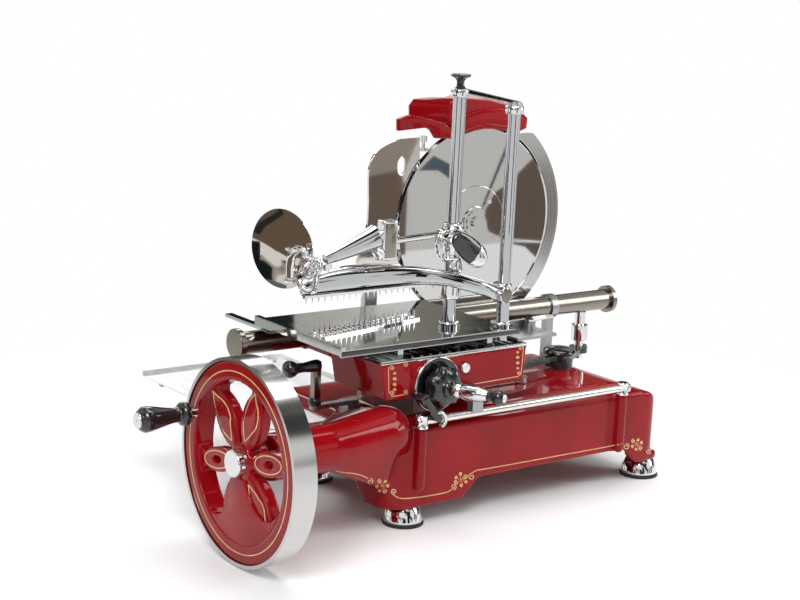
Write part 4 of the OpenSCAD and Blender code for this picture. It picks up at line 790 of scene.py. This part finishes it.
# Housing over the blade: a hollow hood with its left cheek turned back, an arched band and a lip to the left
def hood():
    """Its points 0 to 9 are the arch; the lower ones stay open between the two ends."""
    front = [(449, 138), (447, 126), (446, 108), (449, 102), (456, 99.5), (470, 98.5), (490, 100.5), (507, 105),
        (519, 110), (527, 118), (526, 128), (520, 131), (507, 129), (495, 127), (485, 127), (470, 130), (458, 136)]
    back = [(430, 131), (409, 118), (409, 106), (414, 99), (430, 97), (446, 97), (458, 93.5), (480, 93), (497, 96),
            (509, 103), (510, 118), (505, 121), (497, 121), (485, 119), (470, 118), (455, 120), (440, 126)]
    near = [at_y(px, py, 210) for px, py in front]
    far = [at_y(px, py, 262) for px, py in back]
    n, arch = len(front), 10
    mid, end = sum(near, Vector()) / n, sum(far, Vector()) / n
    bm = bmesh.new()
    rings = []
    for pts, c, k, y in ((near, mid, 0.955, 206), (near, mid, 0.985, 207.2), (near, mid, 1, 210.5),
                         (far, end, 1, 261), (far, end, 0.985, 265.5), (far, end, 0.94, 268)):
        rings.append([bm.verts.new(Vector((c.x + (q.x - c.x) * k, y, c.z + (q.z - c.z) * k)) * MM)
                      for q in pts])
    bm.faces.new(rings[0])
    bm.faces.new(rings[-1])
    for a, b in zip(rings, rings[1:]):
        for k in range(arch if a is rings[2] else n):
            bm.faces.new([a[k], a[(k + 1) % n], b[(k + 1) % n], b[k]])
    bmesh.ops.recalc_face_normals(bm, faces=bm.faces)
    bmesh.ops.triangulate(bm, faces=[f for f in bm.faces if len(f.verts) > 4])
    bmesh.ops.solidify(bm, geom=bm.faces[:], thickness=0.0025)
    return add("hood_shell", bm, RED, "frame", True, 38)


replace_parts(hood(), "sharpener_housing")
brick("hood_stay", (285, 267.6, 420), (309, 274, 594), 1.2, RED, "frame")

# Gauge plate with its slot, as thick as the solid one
plate = slab("gauge_face", arc_px([(369, 200), (369, 176), (371, 162), (378, 151), (390, 143), (404, 139),
    (420, 137.5)]) + [(420, 264), (357, 264)] + arc_px([(357, 260), (363, 245), (367.5, 225), (369, 201)]), 230,
    234, 0.4, SHEET, "gauge", arc_px([(402, 156), (405, 160), (405, 170), (402, 175.5), (398, 172), (398, 162),
    (402, 156)], 3)[:-1], 5)
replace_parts(plate, "gauge_plate")
slab("hood_lip", [(400, 131), (400, 119.5), (404, 117), (413, 115.5), (430, 119), (445, 123), (452, 129),
    (452, 138.5), (437, 138.5), (432, 129), (425, 128)], 200, 210, 1.6, RED, "frame")
slab("hood_band", [(451, 139), (451, 122), (465, 116), (480, 110.5), (500, 108.5), (515, 112), (526, 119),
    (526, 128), (520, 131), (507, 131), (495, 129), (485, 129), (475, 131), (465, 134.5), (455, 139)], 201, 209,
    1.4, RED, "frame")
wire("hood_edge", [tuple(at_y(px, py, 200.5)) for px, py in ((452, 134), (465, 130.5), (475, 127), (485, 124.5),
    (495, 125), (507, 127), (519, 130))], 1.7, RED, "frame")

# The hand guard: the dish's middle and the way that it faces
DISH_AT, DISH_N = (-199.5, 38.2, 427), (-0.96, -0.276, 0)


def on_dish(px, py, off):
    """The point over the dish, off millimetres in front of it, that shows at this place of the photograph."""
    o, d = photo_ray(px, py)
    n = Vector(DISH_N).normalized()
    at = (Vector(DISH_AT) + n * off) * MM
    return tuple((o + d * ((at - o).dot(n) / d.dot(n))) / MM)


def over(pts):
    return [on_dish(*q) for q in pts]


for name, pts, r, wide in (
        ("strap", over([(307, 254, 10), (302, 250, 14), (296, 251, 16), (291.5, 257, 16), (290, 266, 15),
         (290, 277, 14)]), 4.6, 1.9),
        ("strap_end", over([(286.5, 279.5, 15), (290, 280, 15), (294.5, 280, 15)]), 4.4, 1.2),
        ("root", over([(305, 254, 10), (309, 258, 4)]) + [(-166, 24, 402), (-156, 28, 400)], 6.5, 1.3),
        ("hook", over([(298, 281, 9), (301, 287, 9), (306, 290, 8)]) + [(-163, 20, 366), (-157, 24, 374),
         (-154, 26, 384)], 4.2, 1.5),
        ("bow", over([(287, 248.5, 8), (292, 251, 12), (300, 250, 12), (306, 249, 8)]), 2.6, 1.4),
        ("link", over([(293, 268, 8), (299, 272, 8), (304, 268, 7), (308, 264, 5)]) + [(-162, 26, 393)], 4.4,
         1.2)):
    wire("knuckle_" + name, pts, r, CHROME, "hand_guard", wide)


def dish_rings():
    deep, reach = 8.5, 56
    front = [(deep * (r / reach) ** 2, r) for r in (reach * k / 16 for k in range(17))]
    rear = [(deep * (r / reach) ** 2 - 2, r) for r in (55.6 * k / 16 for k in range(16, -1, -1))]
    return front + [(8.2, 56.4)] + rear


dish = lathe("dish_plate", dish_rings(), DISH_AT, DISH_N, DISH, "hand_guard", 96, 30)
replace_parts(dish, "hand_guard")
turn("dish_stud", [(0, 0.1), (0, 12), (3, 13), (7, 12), (14, 9)], (-196.5, 39.1, 427), (0.96, 0.276, 0), CHROME,
    "hand_guard")
wire("dish_stay", [(-190, 41, 424), (-183, 38, 412), (-172, 33, 402)], 5.5, CHROME, "hand_guard", 1.4)

# The feed: where its disc, knob and handle start
DISC, KNOB, BARREL = (44, -8, 212), (44, -15, 212), (44, -46, 212)
# A dished black disc with a thin bright edge, a lobed knob, a turned handle and a ball
ring = turn("feed_dish", [(0, 38), (1, 40.6), (4, 41), (6, 40.4), (6.6, 38), (6.2, 34), (5, 26), (5, 14)], DISC,
    FRONT, BLACK, "carriage", 5, n=96)
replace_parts(ring, "feed_ring")
turn("feed_dish_edge", [(0, 39), (0, 42), (3.6, 42.2), (5.2, 41.6), (5.8, 40.4), (5.2, 39)], DISC, FRONT, CHROME,
    "carriage", n=96)
turn("box_stud", [(0, 6), (0.4, 8), (4, 8.2), (6, 7)], (97, -8, 231), FRONT, CHROME, "carriage", 6.6)
knob = lobed("feed_hand_knob", [(0, 22, 1), (1.5, 27, 2), (4, 31.5, 4), (9, 33.4, 5.5), (15, 33.6, 6),
    (20, 32, 5.6), (24, 28, 4), (26, 22, 2), (27, 15, 0.6), (30, 12.5, 0), (33, 11, 0)], KNOB, 7, BLACK,
    "feed_knob")
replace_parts(knob, "feed_knob")
turn("feed_knob_neck", [(25, 13), (28, 14), (32, 12.6), (35, 9)], KNOB, FRONT, BLACK, "feed_knob", 35)
# The handle stands 26 degrees off square to the knob
HANDLE = (math.sin(math.radians(26)), -math.cos(math.radians(26)), 0)
handle = turn("feed_barrel", [(2, 6.5), (4, 9.4), (7, 11), (11, 11.5), (15, 10.6), (17, 10.2), (20, 11.2),
    (30, 11.8), (42, 11.2), (50, 9.6), (56, 8), (59, 7.4), (60, 6)], BARREL, HANDLE, CHROME, "feed_handle", 60, 4)
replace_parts(handle, "feed_handle")
turn("feed_handle_neck", [(58, 6.8), (60, 8.4), (63, 8.8), (65, 7), (68, 5.2), (70, 6)], BARREL, HANDLE, BLACK,
    "feed_handle")
lathe("feed_ball", [(75.5 - 11.6 * math.cos(math.radians(9 * k)), max(11.6 * math.sin(math.radians(9 * k)),
    0.05)) for k in range(21)], BARREL, HANDLE, BLACK, "feed_handle")
turn("feed_ball_cap", [(85, 6.4), (86.6, 6.2), (87.4, 5.2)], BARREL, HANDLE, CHROME, "feed_handle", 87.6)

# Pawl: a black arm with a bright hook
pawl = wire("pawl_arm", [(-4, -47, 205), (4, -47, 193), (14, -47, 180), (25, -47, 168)], 5.2, BLACK, "feed_pawl",
    0.75)
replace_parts(pawl, "feed_pawl")
turn("pawl_hub", [(-31, 3.4), (-12, 3.6), (-10, 7), (3, 7.6), (5, 6), (5.4, 1)], (-4, -43, 203), FRONT, BLACK,
    "feed_pawl")
wire("pawl_hook", [(17, -47, 181), (26, -47, 180), (33, -47, 173), (33, -47, 163), (26, -47, 158.5)], 3.2, CHROME,
    "feed_pawl", 1.3)

# Bar and grip of the thickness lever
grip2 = brick("lever_bar", (-97, 104, 176), (-85, 116, 236), 1.2, TUBE, "thickness_lever")
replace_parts(grip2, "thickness_lever")
turn("lever_pivot", [(162, 5), (166, 7.5), (170, 9.4), (175, 9.6), (178, 8.4), (180, 5)], (-91, 110, 0), UP,
    BLACKMET, "thickness_lever")
turn("lever_grip", [(-8, 8.2), (-6, 9.4), (0, 9.6), (8, 8.6), (18, 7.4), (28, 7.4), (34, 9), (38, 11.4), (44, 13),
    (49, 12.2), (52.4, 9), (54, 4)], (-94, 110, 228), LEFT, BLACK, "thickness_lever", 54.4, 4)

# Table: dark slot under its front lip, and the bright bar over the box's front
brick("table_slot", (-132, -12.7, 273.2), (200, -11.4, 280.6), 0.4, BLACK, "table", 2)
wire("box_front_bar", [(-57, -8.2, 252.6), (219, -8.2, 252.6)], 1.8, CHROME, "carriage")

# Screws, studs and turned details
BLADE_FACE = (297, 229, 402)
for x, s in ((-182, -1), (586, 1)):
    lathe("tube_screw_%d" % (s + 1), [(-3, 0), (-3, 5), (-0.6, 5), (-0.1, 4.2), (-0.1, 0)], (x, 196, 252),
        (s, 0, 0), SHAFT, "carriage")
disc = lathe("blade_disc", [(0, 9), (0, 59.8), (0.05, 60), (0.35, 60.3), (0.4, 60.6), (0.4, 155.8), (0.45, 156),
    (2.2, 160.4), (2.6, 161), (3, 161), (3, 9)], (297, 226, 402), BACK, BLADE, "cutter", 160, 3)
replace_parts(disc, "blade")
for i, at, r in ((1, (105, 45, 631), 13.4), (2, (186, 14, 607), 14.4)):
    turn("column_collar_%d" % i, [(0, 10.4), (0.8, r - 0.8), (2.4, r), (10, r), (12, r - 1.2), (13, r - 3)], at, UP,
        CHROME, "table")
turn("arm_dome", [(0, 25), (1, 27.4), (4, 28), (8, 25), (11, 17), (12.4, 8)], (424, 139, 183.4), UP, BLACK,
    "carriage", 12.6, 4, 72)
turn("post_sleeve", [(0, 11), (1.5, 14), (4, 14.6), (26, 14.6), (28, 13.4), (29, 9)], (521, 196, 184), UP, CHROME,
    "carriage")
lathe("post_stem", [(0, 9.2), (24, 9.2)], (521, 196, 211), UP, CHROME, "carriage")
turn("blade_stud", [(0, 3), (1, 3.6), (4, 3.4)], (327, 230, 434), FRONT, CHROME, "cutter", 4.6, n=24)
turn("blade_boss", [(0, 26), (1.5, 27), (3, 26.6), (4, 24)], BLADE_FACE, FRONT, BLADE, "cutter", 4.2)
for a in (30, 150, 270):
    x, z = 297 + 42 * math.cos(math.radians(a)), 402 + 42 * math.sin(math.radians(a))
    lathe("blade_screw_%d" % a, [(0, 0), (0, 3.4), (1.6, 3.2), (2, 0)], (x, 229, z), FRONT, SHAFT, "cutter", 20)
for i, (x, y, z) in enumerate(((105, 45, 287), (184, 16, 285))):
    turn("column_foot_%d" % i, [(z, 14), (z + 0.8, 15.4), (z + 2.8, 15.4), (z + 3.8, 13.4), (z + 4.3, 10.3)],
        (x, y, 0), UP, CHROME, "table")


# Floor and light
def seen_ray(t):
    """True for a ray from the camera, and for one that comes back from metal or glass."""
    path = node(t, "ShaderNodeLightPath")
    a = node(t, "ShaderNodeMath", operation="MAXIMUM")
    b = node(t, "ShaderNodeMath", operation="MAXIMUM")
    t.links.new(path.outputs["Is Camera Ray"], a.inputs[0])
    t.links.new(path.outputs["Is Glossy Ray"], a.inputs[1])
    t.links.new(a.outputs[0], b.inputs[0])
    t.links.new(path.outputs["Is Transmission Ray"], b.inputs[1])
    return b.outputs[0]


def mirror_only(name, bm, **look):
    """A stage board that only shows in polished metal."""
    ob = place(name, bm)
    m = Mat(name)
    m.set(Specular_IOR_Level=0.0, **look)
    ob.data.materials.append(m.m)
    for way in ("camera", "diffuse", "shadow", "transmission"):
        setattr(ob, "visible_" + way, False)
    return ob


def card(name, at, aim, w, h):
    """A dark studio board, w by h metres, that faces the point aim."""
    bm = bmesh.new()
    bmesh.ops.create_grid(bm, x_segments=1, y_segments=1, size=0.5)
    ob = mirror_only(name, bm, Base_Color=(0.012, 0.014, 0.015, 1), Roughness=0.9)
    ob.scale = (w, h, 1)
    ob.location = at
    ob.rotation_euler = (Vector(aim) - Vector(at)).to_track_quat("Z", "Y").to_euler()


def board(name, tone, outline):
    """A board of plain colour, whatever light falls on it."""
    bm = bmesh.new()
    bm.faces.new([bm.verts.new(q) for q in outline])
    bmesh.ops.triangulate(bm, faces=bm.faces)
    mirror_only(name, bm, Base_Color=(0, 0, 0, 1), Roughness=1.0, Emission_Color=(*tone, 1), Emission_Strength=1.0)


# The plane of the blade's and gauge plate's mirrors, and the height of a board on the floor
MIRROR_Y, FLOOR_Z = 0.232, 0.006


def mirror_board(name, plane, tone, outline):
    """A board at the place where the mirrors show it in this outline of the photograph: on the
    upright plane y, or on the floor."""
    pts = []
    for px, py in outline:
        o, d = photo_ray(px, py)
        q = o + d * ((MIRROR_Y - o.y) / d.y)
        k = (FLOOR_Z - q.z) / d.z if plane is None else (MIRROR_Y - plane) / d.y
        pts.append((q.x + d.x * k, MIRROR_Y - d.y * k, q.z + d.z * k))
    board(name, tone, pts)


def room_of(t):
    """What polished metal sees around it: bright walls with dark patches between them."""
    co = node(t, "ShaderNodeTexCoord")
    mp = node(t, "ShaderNodeMapping", Scale=(1, 1, 1.7), Location=(0.35, 0.1, 0.2))
    t.links.new(co.outputs["Generated"], mp.inputs["Vector"])
    n = node(t, "ShaderNodeTexNoise", Scale=2.1, Detail=1.2, Roughness=0.45, Distortion=0.35)
    t.links.new(mp.outputs["Vector"], n.inputs["Vector"])
    r = node(t, "ShaderNodeValToRGB")
    e = r.color_ramp.elements
    e[0].position, e[0].color = 0.415, (0.012, 0.017, 0.017, 1)
    e[1].position, e[1].color = 0.545, (0.97, 0.97, 0.96, 1)
    for at, tone in ((0.45, (0.04, 0.045, 0.04, 1)), (0.465, (0.34, 0.31, 0.26, 1)),
                     (0.515, (0.52, 0.50, 0.46, 1))):
        e.new(at).color = tone
    t.links.new(n.outputs["Fac"], r.inputs["Fac"])
    return r.outputs["Color"]


def make_floor():
    """A pale floor that turns to plain white away from the part, where the camera sees it."""
    bm = bmesh.new()
    bmesh.ops.create_grid(bm, x_segments=2, y_segments=2, size=9)
    floor = place("floor", bm)
    floor.location = (0.2, 0.1, 0)
    m = Mat("floor_white")
    m.set(Base_Color=(0.95, 0.95, 0.95, 1), Roughness=0.7, Specular_IOR_Level=0.1)
    t = m.t
    glow = node(t, "ShaderNodeEmission", Strength=1.0)
    co = node(t, "ShaderNodeTexCoord")
    ln = node(t, "ShaderNodeVectorMath", operation="LENGTH")
    m.link(co.outputs["Object"], ln.inputs[0])
    far = node(t, "ShaderNodeMapRange", From_Min=0.45, From_Max=1.15)
    m.link(ln.outputs["Value"], far.inputs["Value"])
    both = node(t, "ShaderNodeMath", operation="MULTIPLY")
    m.link(far.outputs["Result"], both.inputs[0])
    m.link(seen_ray(t), both.inputs[1])
    mix = node(t, "ShaderNodeMixShader")
    m.link(both.outputs[0], mix.inputs["Fac"])
    m.link(m.b.outputs["BSDF"], mix.inputs[1])
    m.link(glow.outputs["Emission"], mix.inputs[2])
    m.link(mix.outputs["Shader"], t.nodes["Material Output"].inputs["Surface"])
    floor.data.materials.append(m.m)


def make_world():
    """Soft grey light, white where the camera looks past the part, and the room in its metal."""
    world = bpy.data.worlds.new("studio")
    world.use_nodes = True
    scene.world = world
    t = world.node_tree
    bg = t.nodes["Background"]
    bg.inputs["Color"].default_value = (0.62, 0.62, 0.63, 1)
    bg.inputs["Strength"].default_value = 0.62
    white = node(t, "ShaderNodeBackground")
    path = node(t, "ShaderNodeLightPath")
    room_mix = node(t, "ShaderNodeMixRGB", Color1=(1, 1, 1, 1))
    t.links.new(path.outputs["Is Glossy Ray"], room_mix.inputs["Fac"])
    t.links.new(room_of(t), room_mix.inputs["Color2"])
    t.links.new(room_mix.outputs["Color"], white.inputs["Color"])
    mix = node(t, "ShaderNodeMixShader")
    t.links.new(seen_ray(t), mix.inputs["Fac"])
    t.links.new(bg.outputs["Background"], mix.inputs[1])
    t.links.new(white.outputs["Background"], mix.inputs[2])
    t.links.new(mix.outputs["Shader"], t.nodes["World Output"].inputs["Surface"])


def make_lamps():
    aim = (0.1, 0.1, 0.3)
    for name, at, size, size_y, power in (
            ("key_box", (-1.6, -1.4, 2.3), 1.3, 1.0, 46), ("top_box", (0.4, 0.3, 2.6), 2.0, 1.4, 34),
            ("side_box", (2.2, -1.2, 1.3), 0.8, 1.4, 20), ("back_box", (0.6, 2.4, 1.8), 1.8, 1.0, 20)):
        lamp = bpy.data.lights.new(name, "AREA")
        lamp.shape = "RECTANGLE"
        lamp.size, lamp.size_y, lamp.energy = size, size_y, power
        ob = bpy.data.objects.new(name, lamp)
        scene.collection.objects.link(ob)
        ob.location = at
        ob.rotation_euler = (Vector(aim) - Vector(at)).to_track_quat("-Z", "Y").to_euler()


# Boards that the mirrors show: name, plane, colour and outline in the photograph
IN_MIRROR = (
    ("plain", -1.34, (0.68, 0.67, 0.64), [(396, 112), (585, 112), (585, 330), (396, 330)]),
    ("gauge", -1.30, (0.17, 0.125, 0.10), [(360, 178), (398, 170), (405, 186), (402, 275), (346, 278)]),
    ("gauge_top", -1.32, (0.33, 0.29, 0.26), [(350, 120), (425, 120), (402, 150), (396, 190), (350, 190)]),
    ("blade", -1.30, (0.15, 0.115, 0.09), [(507, 182), (492, 192), (480, 214), (486, 231), (500, 237),
     (566, 243), (566, 190), (550, 160), (532, 156), (518, 170)]),
    ("blade_floor", None, (0.15, 0.115, 0.09), [(498, 241), (522, 246), (541, 264), (552, 262), (566, 243)]),
    ("streak", -1.29, (0.05, 0.05, 0.048), [(505, 141), (508, 142), (481, 207), (479, 206)]),
    ("blue", -1.29, (0.10, 0.13, 0.155), [(416, 170), (431, 155), (452, 166), (452, 182), (436, 170)]),
    ("low", -1.29, (0.09, 0.10, 0.10), [(398, 262), (420, 266), (442, 252), (442, 270), (398, 275)]),
)
# Boards around the dish: name, colour and corners in metres
BY_DISH = (
    ("dish", (0.17, 0.125, 0.09), [(-0.78, -0.3, 0.01), (-1.9, -0.1, 0.01), (-3.3, 0.8, 0.01),
     (-4.3, 2.0, 0.01), (-2.0, 2.5, 0.01), (-0.78, 1.6, 0.01)]),
    ("dish_line", (0.03, 0.03, 0.03), [(-1.5, -0.06, 0.012), (-1.12, 0.12, 0.012), (-0.8, 0.42, 0.012),
     (-0.86, 0.46, 0.012), (-1.2, 0.2, 0.012), (-1.6, 0.06, 0.012)]),
    ("dish_low", (0.16, 0.18, 0.18), [(-3, -0.4, 0.5), (-3, 0.3, 1.0), (-3, 1.7, 1.0), (-3, 1.7, 2.2),
     (-3, -0.4, 2.2)]),
)
# Dark boards around the part: name, place, aim, width and height
CARDS = (
    ("left", (-2.1, -0.2, 0.6), (0, 0, 0.3), 0.5, 1.4), ("front", (-0.1, -2.4, 0.5), (0.1, 0, 0.3), 0.55, 1.3),
    ("right", (2.4, 0.5, 0.6), (0.2, 0.1, 0.3), 0.6, 1.4), ("back", (0.9, 2.1, 0.5), (0.2, 0.1, 0.3), 0.5, 1.2),
    ("top", (-0.5, 0.5, 1.9), (0.1, 0.1, 0.3), 0.35, 1.4),
)

make_floor()
make_world()
make_lamps()
for name, *rest in IN_MIRROR:
    mirror_board("board_" + name, *rest)
for name, *rest in BY_DISH:
    board("board_" + name, *rest)
for name, *rest in CARDS:
    card("board_" + name, *rest)
